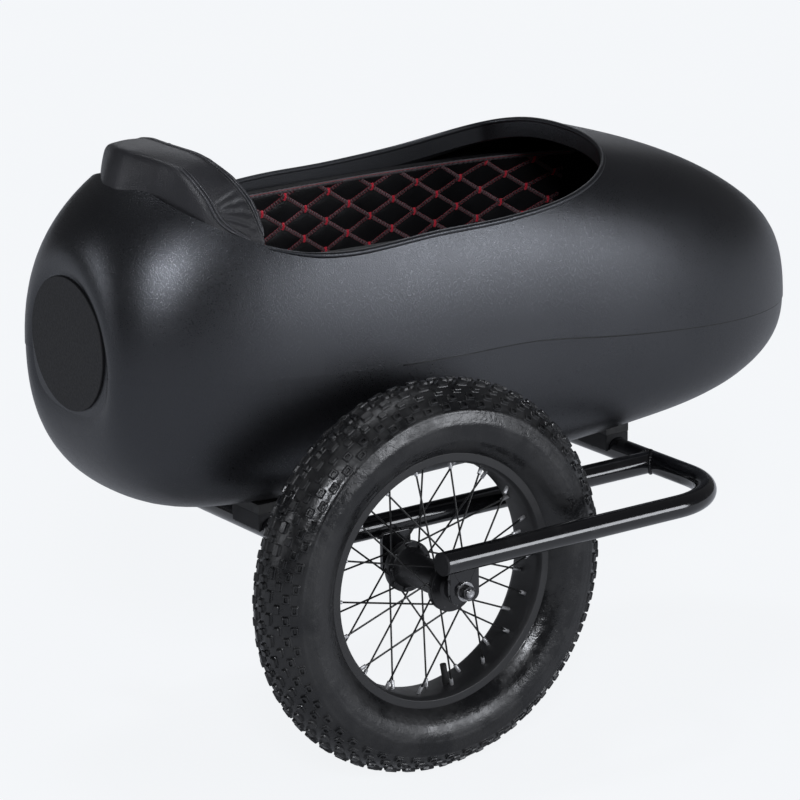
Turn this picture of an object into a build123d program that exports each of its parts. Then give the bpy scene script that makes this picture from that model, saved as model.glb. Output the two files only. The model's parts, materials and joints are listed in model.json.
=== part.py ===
from build123d import *

import math
import os

# Bicycle sidecar: a moulded pod with a quilted cockpit on a bent-tube chassis, with one fat-tyred wire wheel.
# Millimetres. X points forward, Y towards the bicycle, Z up.
# The origin is the middle of the rear coupling eye, where the chassis is pinned to the bicycle.

os.makedirs("parts", exist_ok=True)

# ---------------------------------------------------------------- chassis sizes
TUBE_DIA = 28.6
TUBE_WALL = 2.0
EYE_SPACING = 533.0        # rear coupling eye to front coupling eye
EYE_DIA = 32.0
EYE_BORE = 12.2
EYE_LENGTH = 50.0
BEND_RADIUS = 90.0         # centre line of the bend between the front cross tube and the outer rail
CAP_THICKNESS = 3.0
RAIL_FROM_WHEEL = 83.0     # outer and inner rails' centre lines from the wheel's middle plane
RAIL_FROM_COUPLING = 56.2  # bicycle-side rail's centre line from the coupling axis
OUTER_RAIL_TAIL = 38.0     # the outer rail's free end behind the axle
TUBE_RADIUS = TUBE_DIA / 2

# ---------------------------------------------------------------- wheel sizes
AXLE_AHEAD = 125.0             # axle ahead of the rear cross tube
AXLE_DROP = 45.0               # axle below the cross tubes
TYRE_DIA = 490.0               # over the lugs
TYRE_WIDTH = 100.0             # over the lugs, as if its round section were whole
TYRE_WALL = 6.0
LUG_HEIGHT = 4.0
LUG_ROOT = 1.5                 # sunk into the casing
LUG_COUNT = 54                 # in each row
LUG_TAPER = 6.0                # degrees
LUG_ROWS = (                   # degrees across the tread, length along it and width
    (0.0, 16.5, 9.5),
    (29.6, 15.0, 9.0),
)
EDGE_RING_ANGLE = 66.0         # degrees across the tread of the raised ring at its edge
EDGE_RING_RADIUS = 3.0
EDGE_RING_PROUD = 1.5
BEAD_WIDTH = 6.0
BEAD_SEAT_DIA = 305.0
RIM_FLANGE_HEIGHT = 6.5        # rim's edge above the bead seat
RIM_WELL_DEPTH = 7.2           # rim's inner face below the bead seat
RIM_WIDTH = 57.0
RIM_SHEET = 2.5
RIM_FOLD = 1.0                 # of the sloping side below the edge
RIM_BED_WIDTH = 9.0            # level bed inside each edge
RIM_WELL_SLOPE = 3.0
HUB_WIDTH = 135.0              # between the dropouts
FLANGE_SPACING = 90.0
FLANGE_DIA = 64.0
FLANGE_THICKNESS = 8.0
FLANGE_ROOT = 5.0              # height of the cone between the flange and the hub's body
FLANGE_CONE = 9.0
HUB_BODY_DIA = 40.0
HUB_END_DIA = 30.0
HUB_END_STEP = 2.0
HUB_END_GAP = 1.5              # turning hub to the fixed lock nut
LOCK_NUT_LENGTH = 8.0
LOCK_NUT_DIA = 22.0
AXLE_DIA = 10.0
AXLE_CLEARANCE = 0.05          # radial, axle in the hub
SPOKE_COUNT = 36
SPOKE_DIA = 2.3
SPOKE_CROSSES = 2
SPOKE_STAGGER = 2.5            # each spoke's root from its flange's middle plane
SPOKE_SPREAD = 9.0             # each spoke's rim end from the wheel's middle plane
SPOKE_EDGE = 3.0               # spoke root inside the flange's edge
RIM_BITE = 1.0                 # nipples and valve seat this deep in the rim
NIPPLE_DIA = 4.6
NIPPLE_LENGTH = 11.0
VALVE_DIA = 8.0
VALVE_LENGTH = 26.0
VALVE_ANGLE = -81.0            # degrees from straight ahead, about the axle

# ---------------------------------------------------------------- dropout sizes
PLATE_THICKNESS = 6.0
PLATE_LENGTH = 42.0
PLATE_BELOW_AXLE = 14.0
PLATE_ABOVE_AXLE = 38.0
PLATE_CORNER = 10.0
SLOT_CLEARANCE = 0.1
WASHER_DIA = 24.0
WASHER_THICKNESS = 2.0
NUT_FLATS = 17.0
NUT_HEIGHT = 8.0
AXLE_PROUD = 3.0               # axle end beyond its nut

# ---------------------------------------------------------------- pod sizes
POD_WALL = 5.0
POD_FROM_WHEEL = 68.0          # pod's side from the wheel's middle plane
POD_HALF_WIDTH = 210.4
TAIL_X = -201.0
NOSE_X = 891.0
BELLY_Z = 22.3
SEAM_Z = 197.3                 # height of the seam between the two mouldings, amidships
SEAM_NOSE_DROP = 58.9
SEAM_TAIL_RISE = 19.6
SEAM_CURVE = 0.22
CROWN_Z = 481.6
TAIL_DISC_DIA = 175.0
TAIL_DISC_RISE = 23.9          # disc centre above the seam
TAIL_DISC_THICKNESS = 3.0
DISC_EDGE = 5.0                # disc's edge inside the pod's flat end
WIDEST_X = 337.3
CROWN_X = 31.7
KEEL_X = 26.2
LAP = 1.5                      # the upper moulding stands this far proud of the lower one

# powers of the pod's outlines: how late each line leaves its peak, and how blunt its end is
WIDTH_TO_NOSE = (3.31, 1.5)
WIDTH_TO_TAIL = (2.44, 2.35)
CROWN_TO_NOSE = (1.6, 2.24)
CROWN_TO_TAIL = (1.43, 2.35)
BELLY_TO_NOSE = (4.0, 3.3)
BELLY_TO_TAIL = (4.0, 2.35)
# fullness of the section's corners at the widest place, at the nose and at the tail
UPPER_FULLNESS = (2.84, 2.39, 1.97)
LOWER_FULLNESS = (4.5, 1.9, 2.58)
FULLNESS_CURVE = 1.5

OPENING_X = 215.0              # widest place of the cockpit opening
OPENING_HALF_WIDTH = 190.0
OPENING_AHEAD = 315.0
OPENING_BEHIND = 340.0
OPENING_FRONT_POWER = 3.5
OPENING_REAR_POWER = 2.8
LIP_DEPTH = 25.0
LIP_THICKNESS = 4.0
LIP_LOW_Z = 227.0              # below every part of the lip, and above the seam
OPENING_LOW_Z = 237.0

# ---------------------------------------------------------------- cockpit sizes
FLOOR_Z = 42.0
BULKHEAD_X = -75.0
BULKHEAD_THICKNESS = 8.0
BULKHEAD_TOP_Z = 347.0
LINER_GAP = 20.0               # liner from the pod's wall
LINER_THICKNESS = 14.0
LINER_TOP_Z = 340.0
LINER_FRONT_X = 640.0
LINER_PART = 60.0              # half the gap between the two liners across the nose
SEAT_LENGTH = 330.0
SEAT_THICKNESS = 95.0
SEAT_SIDE_GAP = 6.0
BACK_THICKNESS = 55.0
BACK_TOP_Z = 345.0
BACK_LEAN = 10.0               # degrees back from upright
PAD_BEHIND = 12.0              # pad's rear face behind the opening's rear end
PAD_DEPTH = 76.0               # front to back, at the middle
PAD_REACH = 122.0              # pad's two ends ahead of its rear face
PAD_HALF_WIDTH = 164.0
PAD_CORNER_SHARE = 0.78        # of its half width, where its rear face has turned forward by the corner depth
PAD_CORNER_DEPTH = 55.0
PAD_SHIFT = 125.0              # the pad's top is the deck's curve, moved back, lowered and narrowed
PAD_DROP = 11.0
PAD_NARROWED = 10.0
PAD_LOW_Z = 297.0              # below the deck under the pad
SOFT_CLEARANCE = 0.4

# ---------------------------------------------------------------- pod mounting
SADDLE_LENGTH = 60.0
SADDLE_WIDTH = 36.0
SADDLE_SPREAD = 95.0           # each saddle from the pod's middle plane
RUBBER_THICKNESS = 3.0

# ---------------------------------------------------------------- places worked out from the sizes
POD_FROM_WHEEL_PLANE = POD_FROM_WHEEL + POD_HALF_WIDTH         # to the pod's middle plane
WHEEL_Y = RAIL_FROM_WHEEL - 2 * POD_FROM_WHEEL_PLANE - RAIL_FROM_COUPLING
AXLE = Vector(AXLE_AHEAD, WHEEL_Y, -AXLE_DROP)
AXLE_LINE = Axis(AXLE, (0, 1, 0))
WHEEL_PLANE = Plane(origin=AXLE, x_dir=(0, 1, 0), z_dir=(1, 0, 0))    # local x is Y, local y is Z
OUTER_RAIL_Y = WHEEL_Y - RAIL_FROM_WHEEL
INNER_RAIL_Y = WHEEL_Y + RAIL_FROM_WHEEL
POD_Y = WHEEL_Y + POD_FROM_WHEEL_PLANE
FAR_RAIL_Y = -RAIL_FROM_COUPLING       # as far from the pod's middle as the inner rail
FRONT_X = EYE_SPACING
REAR_X = 0.0
POD_LENGTH = NOSE_X - TAIL_X
DISC_RADIUS = TAIL_DISC_DIA / 2
NOSE_Z = SEAM_Z - SEAM_NOSE_DROP
DISC_Z = SEAM_Z + SEAM_TAIL_RISE + TAIL_DISC_RISE
SECTION_RADIUS = TYRE_DIA / 2 - TYRE_WIDTH / 2     # middle of the tyre's round section, from the axle
CASING_RADIUS = TYRE_WIDTH / 2 - LUG_HEIGHT


def signed_power(value, power):
    return math.copysign(abs(value) ** power, value)


def hump(x, peak, nose_powers, tail_powers):
    """Share of full size at x: 1 at the peak, 0 at the nose and at the tail."""
    if x >= peak:
        share = min(1.0, (x - peak) / (NOSE_X - peak))
        rise, root = nose_powers
    else:
        share = min(1.0, (peak - x) / (peak - TAIL_X))
        rise, root = tail_powers
    return (1.0 - share ** rise) ** (1.0 / root)


def half_width(x):
    share = hump(x, WIDEST_X, WIDTH_TO_NOSE, WIDTH_TO_TAIL)
    if x >= WIDEST_X:
        return POD_HALF_WIDTH * share
    return DISC_RADIUS + (POD_HALF_WIDTH - DISC_RADIUS) * share


def crown_line(x):
    share = hump(x, CROWN_X, CROWN_TO_NOSE, CROWN_TO_TAIL)
    end = NOSE_Z if x >= CROWN_X else DISC_Z + DISC_RADIUS
    return end + (CROWN_Z - end) * share


def belly_line(x):
    share = hump(x, KEEL_X, BELLY_TO_NOSE, BELLY_TO_TAIL)
    end = NOSE_Z if x >= KEEL_X else DISC_Z - DISC_RADIUS
    return end + (BELLY_Z - end) * share


def seam_line(x):
    if x >= WIDEST_X:
        share = (x - WIDEST_X) / (NOSE_X - WIDEST_X)
        return SEAM_Z - SEAM_NOSE_DROP * share * (1 + SEAM_CURVE - SEAM_CURVE * share)
    share = (WIDEST_X - x) / (WIDEST_X - TAIL_X)
    return SEAM_Z + SEAM_TAIL_RISE * share ** 2


def fullness(x, powers):
    """Power of the section's corner curve, which changes towards the nose and towards the tail."""
    middle, nose, tail = powers
    ahead = max(0.0, (x - WIDEST_X) / (NOSE_X - WIDEST_X))
    behind = max(0.0, (WIDEST_X - x) / (WIDEST_X - TAIL_X))
    return middle + (nose - middle) * ahead ** FULLNESS_CURVE + (tail - middle) * behind ** FULLNESS_CURVE


def corner_handle(power):
    """Length of a quarter curve's handles, as a share of its size, for a superellipse of this power."""
    return (0.5 ** (1 / power) - 0.5) / 0.375


STATIONS = 12
TIP = 2.0                      # half the size of the form's last section, at the nose
SEAM_OVERRUN = 20.0            # of the seam's cut beyond the pod
OPENING_STEPS = 40
HIGH_Z = CROWN_Z + 120.0       # clear above the pod
LOW_Z = BELLY_Z - 60.0         # clear below it


def section_sizes(x, inset, lap, narrowed):
    """Half width, height above the seam and depth below it of the section at x, drawn in by the inset."""
    wide = max(TIP, half_width(x) - inset - lap - narrowed)
    tall = max(TIP, crown_line(x) - seam_line(x) - inset)
    deep = max(TIP, seam_line(x) - belly_line(x) - inset - lap)
    return wide, tall, deep


def pod_form(inset=0.0, lap=0.0, narrowed=0.0):
    """The pod's solid form, drawn in all round, lapped inside the upper moulding and narrowed."""
    with BuildPart() as form:
        for number in range(STATIONS + 1):
            share = 0.5 - 0.5 * math.cos(math.pi * number / STATIONS)
            x = TAIL_X + POD_LENGTH * share
            place = TAIL_X + inset + (POD_LENGTH - 2 * inset) * share
            wide, tall, deep = section_sizes(x, inset, lap, narrowed)
            upper = corner_handle(fullness(x, UPPER_FULLNESS))
            lower = corner_handle(fullness(x, LOWER_FULLNESS))
            with BuildSketch(Plane(origin=(place, POD_Y, seam_line(x)), x_dir=(0, 1, 0), z_dir=(1, 0, 0))):
                with BuildLine():
                    Bezier((wide, 0), (wide, tall * upper), (wide * upper, tall), (0, tall))
                    Bezier((0, tall), (-wide * upper, tall), (-wide, tall * upper), (-wide, 0))
                    Bezier((-wide, 0), (-wide, -deep * lower), (-wide * lower, -deep), (0, -deep))
                    Bezier((0, -deep), (wide * lower, -deep), (wide, -deep * lower), (wide, 0))
                make_face()
        loft()
    return form.part


def seam_block(end_z):
    """A block the size of the pod, from the curved seam up or down to a level."""
    first = TAIL_X - SEAM_OVERRUN
    last = NOSE_X + SEAM_OVERRUN
    steps = [first + (last - first) * number / STATIONS for number in range(STATIONS + 1)]
    with BuildPart() as block:
        with BuildSketch(Plane.XZ.offset(-POD_Y)):
            with BuildLine():
                seam = Spline(*[(x, seam_line(x)) for x in steps])
                Polyline(seam @ 1, (last, end_z), (first, end_z), seam @ 0)
            make_face()
        extrude(amount=POD_HALF_WIDTH + SEAM_OVERRUN, both=True)
    return block.part


def opening_outline(grow):
    """Points of the cockpit opening, seen from above and grown outwards."""
    points = []
    for step in range(OPENING_STEPS):
        angle = 2 * math.pi * step / OPENING_STEPS
        ahead = math.cos(angle) >= 0
        power = 2 / (OPENING_FRONT_POWER if ahead else OPENING_REAR_POWER)
        reach = (OPENING_AHEAD if ahead else OPENING_BEHIND) + grow
        x = OPENING_X + reach * signed_power(math.cos(angle), power)
        y = POD_Y + (OPENING_HALF_WIDTH + grow) * signed_power(math.sin(angle), power)
        points.append((x, y))
    return points


def save(piece, name):
    piece.label = name
    export_step(piece, f"parts/{name}.step")


pod_outer = pod_form()
pod_inner = pod_form(POD_WALL)
pod_lower_outer = pod_form(0.0, LAP)
pod_lower_inner = pod_form(POD_WALL, LAP)


def opening_prism(grow, low_z):
    """The cockpit opening as an upright block, from a height up to clear of the pod."""
    with BuildPart() as prism:
        with BuildSketch(Plane.XY.offset(low_z)):
            with BuildLine():
                Spline(*opening_outline(grow), periodic=True)
            make_face()
        extrude(amount=HIGH_Z - low_z)
    return prism.part


# ---------------------------------------------------------------- pod, lower moulding
with BuildPart() as pod_lower:
    add(pod_lower_outer)
    add(pod_lower_inner, mode=Mode.SUBTRACT)
    add(seam_block(LOW_Z), mode=Mode.INTERSECT)
save(pod_lower.part, "pod_lower")

# ---------------------------------------------------------------- pod, upper moulding with a turned-down lip
with BuildPart() as lip_block:
    add(opening_prism(LIP_THICKNESS, LIP_LOW_Z))
    add(pod_outer.moved(Location((0, 0, -LIP_DEPTH))), mode=Mode.SUBTRACT)

with BuildPart() as cavity:
    add(pod_inner)
    add(lip_block.part, mode=Mode.SUBTRACT)

with BuildPart() as pod_upper:
    add(pod_outer)
    add(cavity.part, mode=Mode.SUBTRACT)
    add(seam_block(HIGH_Z), mode=Mode.INTERSECT)
    add(opening_prism(0.0, OPENING_LOW_Z), mode=Mode.SUBTRACT)
save(pod_upper.part, "pod_upper")

# ---------------------------------------------------------------- tail disc
with BuildPart() as tail_disc:
    with BuildSketch(Plane(origin=(TAIL_X, POD_Y, DISC_Z), x_dir=(0, 1, 0), z_dir=(-1, 0, 0))):
        Circle(DISC_RADIUS - DISC_EDGE)
    extrude(amount=TAIL_DISC_THICKNESS)
    fillet(tail_disc.faces().sort_by(Axis.X)[0].edges(), TAIL_DISC_THICKNESS / 3)
save(tail_disc.part, "tail_disc")


# ---------------------------------------------------------------- cockpit
with BuildPart() as cockpit_floor:
    add(pod_lower_inner)
    with Locations(((BULKHEAD_X + LINER_FRONT_X) / 2, POD_Y, (LOW_Z + FLOOR_Z) / 2)):
        Box(LINER_FRONT_X - BULKHEAD_X, 2 * POD_HALF_WIDTH, FLOOR_Z - LOW_Z, mode=Mode.INTERSECT)
save(cockpit_floor.part, "cockpit_floor")

with BuildPart() as bulkhead:
    add(pod_lower_inner)
    with Locations((BULKHEAD_X - BULKHEAD_THICKNESS / 2, POD_Y, (LOW_Z + BULKHEAD_TOP_Z) / 2)):
        Box(BULKHEAD_THICKNESS, 2 * POD_HALF_WIDTH, BULKHEAD_TOP_Z - LOW_Z, mode=Mode.INTERSECT)
save(bulkhead.part, "bulkhead")

liner_outer_form = pod_form(POD_WALL, LAP, LINER_GAP)
liner_inner_form = pod_form(POD_WALL, LAP, LINER_GAP + LINER_THICKNESS)
liner_x = (BULKHEAD_X + LINER_FRONT_X) / 2
liner_z = (FLOOR_Z + LINER_TOP_Z) / 2
for name, side in (("liner_left", 1), ("liner_right", -1)):
    wide = POD_HALF_WIDTH - LINER_PART
    with BuildPart() as liner:
        with Locations((liner_x, POD_Y + side * (LINER_PART + wide / 2), liner_z)):
            Box(LINER_FRONT_X - BULKHEAD_X, wide, LINER_TOP_Z - FLOOR_Z)
        add(liner_outer_form, mode=Mode.INTERSECT)
        add(liner_inner_form, mode=Mode.SUBTRACT)
    save(liner.part, name)

# the seat cushion and the seat back fill the width between the liners
seat_form = pod_form(POD_WALL, LAP, LINER_GAP + LINER_THICKNESS + SEAT_SIDE_GAP)
seat_top_z = FLOOR_Z + SEAT_THICKNESS
with BuildPart() as seat_cushion:
    with Locations((BULKHEAD_X + SOFT_CLEARANCE + SEAT_LENGTH / 2, POD_Y, (FLOOR_Z + seat_top_z) / 2)):
        Box(SEAT_LENGTH, 2 * POD_HALF_WIDTH, SEAT_THICKNESS - 2 * SOFT_CLEARANCE)
    add(seat_form, mode=Mode.INTERSECT)
save(seat_cushion.part, "seat_cushion")

back_slope = (BACK_TOP_Z - seat_top_z) * math.tan(math.radians(BACK_LEAN))
back_x = BULKHEAD_X + SOFT_CLEARANCE
with BuildPart() as seat_back:
    with BuildSketch(Plane.XZ.offset(-POD_Y)):
        with BuildLine():
            Polyline(
                (back_x, seat_top_z + SOFT_CLEARANCE),
                (back_x + BACK_THICKNESS + back_slope / 2, seat_top_z + SOFT_CLEARANCE),
                (back_x + BACK_THICKNESS - back_slope / 2, BACK_TOP_Z),
                (back_x, BACK_TOP_Z),
                close=True,
            )
        make_face()
    extrude(amount=POD_HALF_WIDTH, both=True)
    add(seat_form, mode=Mode.INTERSECT)
save(seat_back.part, "seat_back")

# the headrest pad is a crescent over the rear of the opening, thin at its two ends
pad_rear_x = OPENING_X - OPENING_BEHIND - PAD_BEHIND
pad_corner = PAD_HALF_WIDTH * PAD_CORNER_SHARE
with BuildPart() as headrest_pad:
    with BuildSketch(Plane.XY.offset(PAD_LOW_Z)):
        with BuildLine():
            rear_curve = Spline(
                (pad_rear_x + PAD_REACH, POD_Y - PAD_HALF_WIDTH),
                (pad_rear_x + PAD_CORNER_DEPTH, POD_Y - pad_corner),
                (pad_rear_x, POD_Y),
                (pad_rear_x + PAD_CORNER_DEPTH, POD_Y + pad_corner),
                (pad_rear_x + PAD_REACH, POD_Y + PAD_HALF_WIDTH),
            )
            ThreePointArc(rear_curve @ 1, (pad_rear_x + PAD_DEPTH, POD_Y), rear_curve @ 0)
        make_face()
    extrude(amount=HIGH_Z - PAD_LOW_Z)
    add(pod_form(narrowed=PAD_NARROWED).moved(Location((-PAD_SHIFT, 0, -PAD_DROP))), mode=Mode.INTERSECT)
    add(pod_form(-SOFT_CLEARANCE), mode=Mode.SUBTRACT)
save(headrest_pad.part, "headrest_pad")


# ---------------------------------------------------------------- chassis tubes
def tube(start, end, radius=TUBE_RADIUS, wall=TUBE_WALL):
    """A straight round tube between two points."""
    start = Vector(*start)
    end = Vector(*end)
    with BuildPart() as straight:
        with BuildSketch(Plane(origin=start, z_dir=end - start)):
            Circle(radius)
            if wall:
                Circle(radius - wall, mode=Mode.SUBTRACT)
        extrude(amount=(end - start).length)
    return straight.part


eye_radius = EYE_DIA / 2
bend_x = FRONT_X - BEND_RADIUS
bend_y = OUTER_RAIL_Y + BEND_RADIUS
outer_rail_end = AXLE.X - OUTER_RAIL_TAIL

with BuildPart() as main_tube:
    with BuildLine():
        Line((FRONT_X, 0, 0), (FRONT_X, bend_y, 0))
        CenterArc((bend_x, bend_y), BEND_RADIUS, 0, -90)
        Line((bend_x, OUTER_RAIL_Y, 0), (outer_rail_end, OUTER_RAIL_Y, 0))
    with BuildSketch(Plane(origin=(FRONT_X, 0, 0), z_dir=(0, -1, 0))):
        Circle(TUBE_RADIUS)
        Circle(TUBE_RADIUS - TUBE_WALL, mode=Mode.SUBTRACT)
    sweep()
    with Locations(Location((FRONT_X, 0, 0), (0, 90, 0))):
        Cylinder(eye_radius, EYE_LENGTH, mode=Mode.SUBTRACT)
save(main_tube.part, "main_tube")

with BuildPart() as outer_rail_cap:
    with BuildSketch(Plane(origin=(outer_rail_end, OUTER_RAIL_Y, 0), z_dir=(-1, 0, 0))):
        Circle(TUBE_RADIUS)
    extrude(amount=CAP_THICKNESS)
save(outer_rail_cap.part, "outer_rail_cap")

with BuildPart() as rear_cross_tube:
    add(tube((REAR_X, 0, 0), (REAR_X, INNER_RAIL_Y - TUBE_RADIUS, 0)))
    with Locations(Location((REAR_X, 0, 0), (0, 90, 0))):
        Cylinder(eye_radius, EYE_LENGTH, mode=Mode.SUBTRACT)
save(rear_cross_tube.part, "rear_cross_tube")

with BuildPart() as rear_cross_cap:
    with BuildSketch(Plane(origin=(REAR_X, INNER_RAIL_Y - TUBE_RADIUS, 0), z_dir=(0, -1, 0))):
        Circle(TUBE_RADIUS)
    extrude(amount=CAP_THICKNESS)
save(rear_cross_cap.part, "rear_cross_cap")

# the inner rail and the bicycle-side rail run from one cross tube to the other, coped to both
cope_length = 3 * TUBE_DIA
for name, y in (("inner_rail", INNER_RAIL_Y), ("bike_side_rail", FAR_RAIL_Y)):
    with BuildPart() as rail:
        add(tube((REAR_X, y, 0), (FRONT_X, y, 0)))
        with Locations(Location((REAR_X, y, 0), (90, 0, 0)), Location((FRONT_X, y, 0), (90, 0, 0))):
            Cylinder(TUBE_RADIUS, cope_length, mode=Mode.SUBTRACT)
    save(rail.part, name)

for name, x in (("coupling_eye_rear", REAR_X), ("coupling_eye_front", FRONT_X)):
    with BuildPart() as eye:
        with Locations(Location((x, 0, 0), (0, 90, 0))):
            Cylinder(eye_radius, EYE_LENGTH)
            Cylinder(EYE_BORE / 2, EYE_LENGTH, mode=Mode.SUBTRACT)
    save(eye.part, name)

# saddles: blocks coped to the cross tubes, with a rubber sheet under the pod's belly
saddle_top_z = BELLY_Z + LAP - RUBBER_THICKNESS
upright = (Align.CENTER, Align.CENTER, Align.MIN)
with BuildPart() as pod_saddles:
    for x in (REAR_X, FRONT_X):
        with Locations((x, POD_Y - SADDLE_SPREAD, 0), (x, POD_Y + SADDLE_SPREAD, 0)):
            Box(SADDLE_WIDTH, SADDLE_LENGTH, saddle_top_z, align=upright)
    for x in (REAR_X, FRONT_X):
        with Locations(Location((x, POD_Y, 0), (90, 0, 0))):
            Cylinder(TUBE_RADIUS, POD_HALF_WIDTH * 2, mode=Mode.SUBTRACT)
save(pod_saddles.part, "pod_saddles")

with BuildPart() as saddle_rubbers:
    for x in (REAR_X, FRONT_X):
        with Locations((x, POD_Y - SADDLE_SPREAD, saddle_top_z), (x, POD_Y + SADDLE_SPREAD, saddle_top_z)):
            Box(SADDLE_WIDTH, SADDLE_LENGTH, RUBBER_THICKNESS * 4, align=upright)
    add(pod_lower_outer, mode=Mode.SUBTRACT)
save(saddle_rubbers.part, "saddle_rubbers")

# ---------------------------------------------------------------- dropouts and axle
half_hub = HUB_WIDTH / 2
for name, side, rail_y in (("dropout_outer", -1, OUTER_RAIL_Y), ("dropout_inner", 1, INNER_RAIL_Y)):
    inner_face = WHEEL_Y + side * half_hub
    with BuildPart() as dropout:
        with BuildSketch(Plane(origin=(AXLE.X, inner_face, AXLE.Z), x_dir=(1, 0, 0), z_dir=(0, -1, 0))):
            with Locations((0, (PLATE_ABOVE_AXLE - PLATE_BELOW_AXLE) / 2)):
                Rectangle(PLATE_LENGTH, PLATE_ABOVE_AXLE + PLATE_BELOW_AXLE)
        extrude(amount=-side * PLATE_THICKNESS)
        fillet(dropout.edges().filter_by(Axis.Y).group_by(Axis.Z)[0], PLATE_CORNER)
        slot_dia = AXLE_DIA + 2 * SLOT_CLEARANCE
        with Locations(Location(AXLE, (90, 0, 0))):
            Cylinder(slot_dia / 2, 4 * RAIL_FROM_WHEEL, mode=Mode.SUBTRACT)
        with Locations((AXLE.X, AXLE.Y, AXLE.Z - PLATE_BELOW_AXLE)):
            Box(slot_dia, 4 * RAIL_FROM_WHEEL, 2 * PLATE_BELOW_AXLE, mode=Mode.SUBTRACT)
        with Locations(Location((AXLE.X, rail_y, 0), (0, 90, 0))):
            Cylinder(TUBE_RADIUS, 2 * PLATE_LENGTH, mode=Mode.SUBTRACT)
    save(dropout.part, name)

outside_of_plate = half_hub + PLATE_THICKNESS
axle_half = outside_of_plate + WASHER_THICKNESS + NUT_HEIGHT + AXLE_PROUD
with BuildPart() as axle:
    with Locations(Location(AXLE, (90, 0, 0))):
        Cylinder(AXLE_DIA / 2, 2 * axle_half)
    chamfer(axle.faces().filter_by(Axis.Y).edges(), 1.0)
save(axle.part, "axle")


def on_axle(distance, side):
    """A plane square to the axle, facing away from the wheel."""
    return Plane(origin=(AXLE.X, WHEEL_Y + side * distance, AXLE.Z), x_dir=(1, 0, 0), z_dir=(0, side, 0))


with BuildPart() as axle_nuts:
    for side in (-1, 1):
        with BuildSketch(on_axle(outside_of_plate + WASHER_THICKNESS, side)):
            RegularPolygon(NUT_FLATS / 2, 6, major_radius=False)
            Circle(AXLE_DIA / 2, mode=Mode.SUBTRACT)
        extrude(amount=NUT_HEIGHT)
save(axle_nuts.part, "axle_nuts")

with BuildPart() as axle_washers:
    for side in (-1, 1):
        with BuildSketch(on_axle(outside_of_plate, side)):
            Circle(WASHER_DIA / 2)
            Circle(AXLE_DIA / 2, mode=Mode.SUBTRACT)
        extrude(amount=WASHER_THICKNESS)
save(axle_washers.part, "axle_washers")

with BuildPart() as lock_nuts:
    for side in (-1, 1):
        with BuildSketch(on_axle(half_hub - LOCK_NUT_LENGTH, side)):
            Circle(LOCK_NUT_DIA / 2)
            Circle(AXLE_DIA / 2, mode=Mode.SUBTRACT)
        extrude(amount=LOCK_NUT_LENGTH)
save(lock_nuts.part, "lock_nuts")

# ---------------------------------------------------------------- hub
hub_half = half_hub - LOCK_NUT_LENGTH - HUB_END_GAP
flange_y = FLANGE_SPACING / 2
with BuildPart() as hub_shell:
    with BuildSketch(WHEEL_PLANE):
        with BuildLine():
            inner_flange = flange_y - FLANGE_THICKNESS / 2
            outer_flange = flange_y + FLANGE_THICKNESS / 2
            bore = AXLE_DIA / 2 + AXLE_CLEARANCE
            right = [
                (hub_half, bore), (hub_half, HUB_END_DIA / 2), (outer_flange + HUB_END_STEP, HUB_END_DIA / 2),
                (outer_flange, HUB_END_DIA / 2 + 2 * HUB_END_STEP), (outer_flange, FLANGE_DIA / 2),
                (inner_flange, FLANGE_DIA / 2), (inner_flange, HUB_BODY_DIA / 2 + FLANGE_ROOT),
                (inner_flange - FLANGE_CONE, HUB_BODY_DIA / 2),
            ]
            Polyline(*right, *[(-y, z) for y, z in reversed(right)], close=True)
        make_face()
    revolve(axis=AXLE_LINE)
save(hub_shell.part, "hub_shell")

# ---------------------------------------------------------------- rim
seat_radius = BEAD_SEAT_DIA / 2
rim_radius = seat_radius + RIM_FLANGE_HEIGHT
well_radius = seat_radius - RIM_WELL_DEPTH
rim_half = RIM_WIDTH / 2
with BuildPart() as rim:
    with BuildSketch(WHEEL_PLANE):
        with BuildLine():
            shoulder = rim_half - RIM_SHEET
            bed = rim_half - RIM_BED_WIDTH
            right = [
                (shoulder, rim_radius), (rim_half, rim_radius),
                (rim_half, seat_radius - RIM_SHEET - RIM_FOLD),
                (shoulder - RIM_SHEET, well_radius + RIM_FOLD), (bed, well_radius),
            ]
            inner = [
                (bed - RIM_WELL_SLOPE, well_radius + RIM_SHEET), (bed, seat_radius), (shoulder, seat_radius),
            ]
            Polyline(*right, *[(-y, z) for y, z in reversed(right)],
                     *[(-y, z) for y, z in reversed(inner)], *inner, close=True)
        make_face()
    revolve(axis=AXLE_LINE)
save(rim.part, "rim")

# ---------------------------------------------------------------- tyre
bead_y = rim_half - RIM_SHEET
heel_y = bead_y - BEAD_WIDTH
lift_y = rim_half + RIM_SHEET          # where the casing leaves the rim's edge


def arc_end(y, radius):
    """Degrees below level of the point at y on a circle round the tyre's section."""
    return math.degrees(math.acos(y / radius))


with BuildPart() as tyre_casing:
    with BuildSketch(WHEEL_PLANE):
        with BuildLine():
            low = arc_end(lift_y, CASING_RADIUS)
            outside = CenterArc((0, SECTION_RADIUS), CASING_RADIUS, -low, 180 + 2 * low)
            low = arc_end(heel_y, CASING_RADIUS - TYRE_WALL)
            inside = CenterArc((0, SECTION_RADIUS), CASING_RADIUS - TYRE_WALL, -low, 180 + 2 * low)
            foot = [(bead_y, rim_radius), (bead_y, seat_radius), (heel_y, seat_radius)]
            Polyline(outside @ 0, *foot, inside @ 0)
            Polyline(outside @ 1, *[(-y, z) for y, z in foot], inside @ 1)
        make_face()
        for side in (-1, 1):
            tilt = math.radians(side * EDGE_RING_ANGLE)
            reach = CASING_RADIUS + EDGE_RING_PROUD - EDGE_RING_RADIUS
            with Locations((reach * math.sin(tilt), SECTION_RADIUS + reach * math.cos(tilt))):
                Circle(EDGE_RING_RADIUS)
    revolve(axis=AXLE_LINE)


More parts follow.
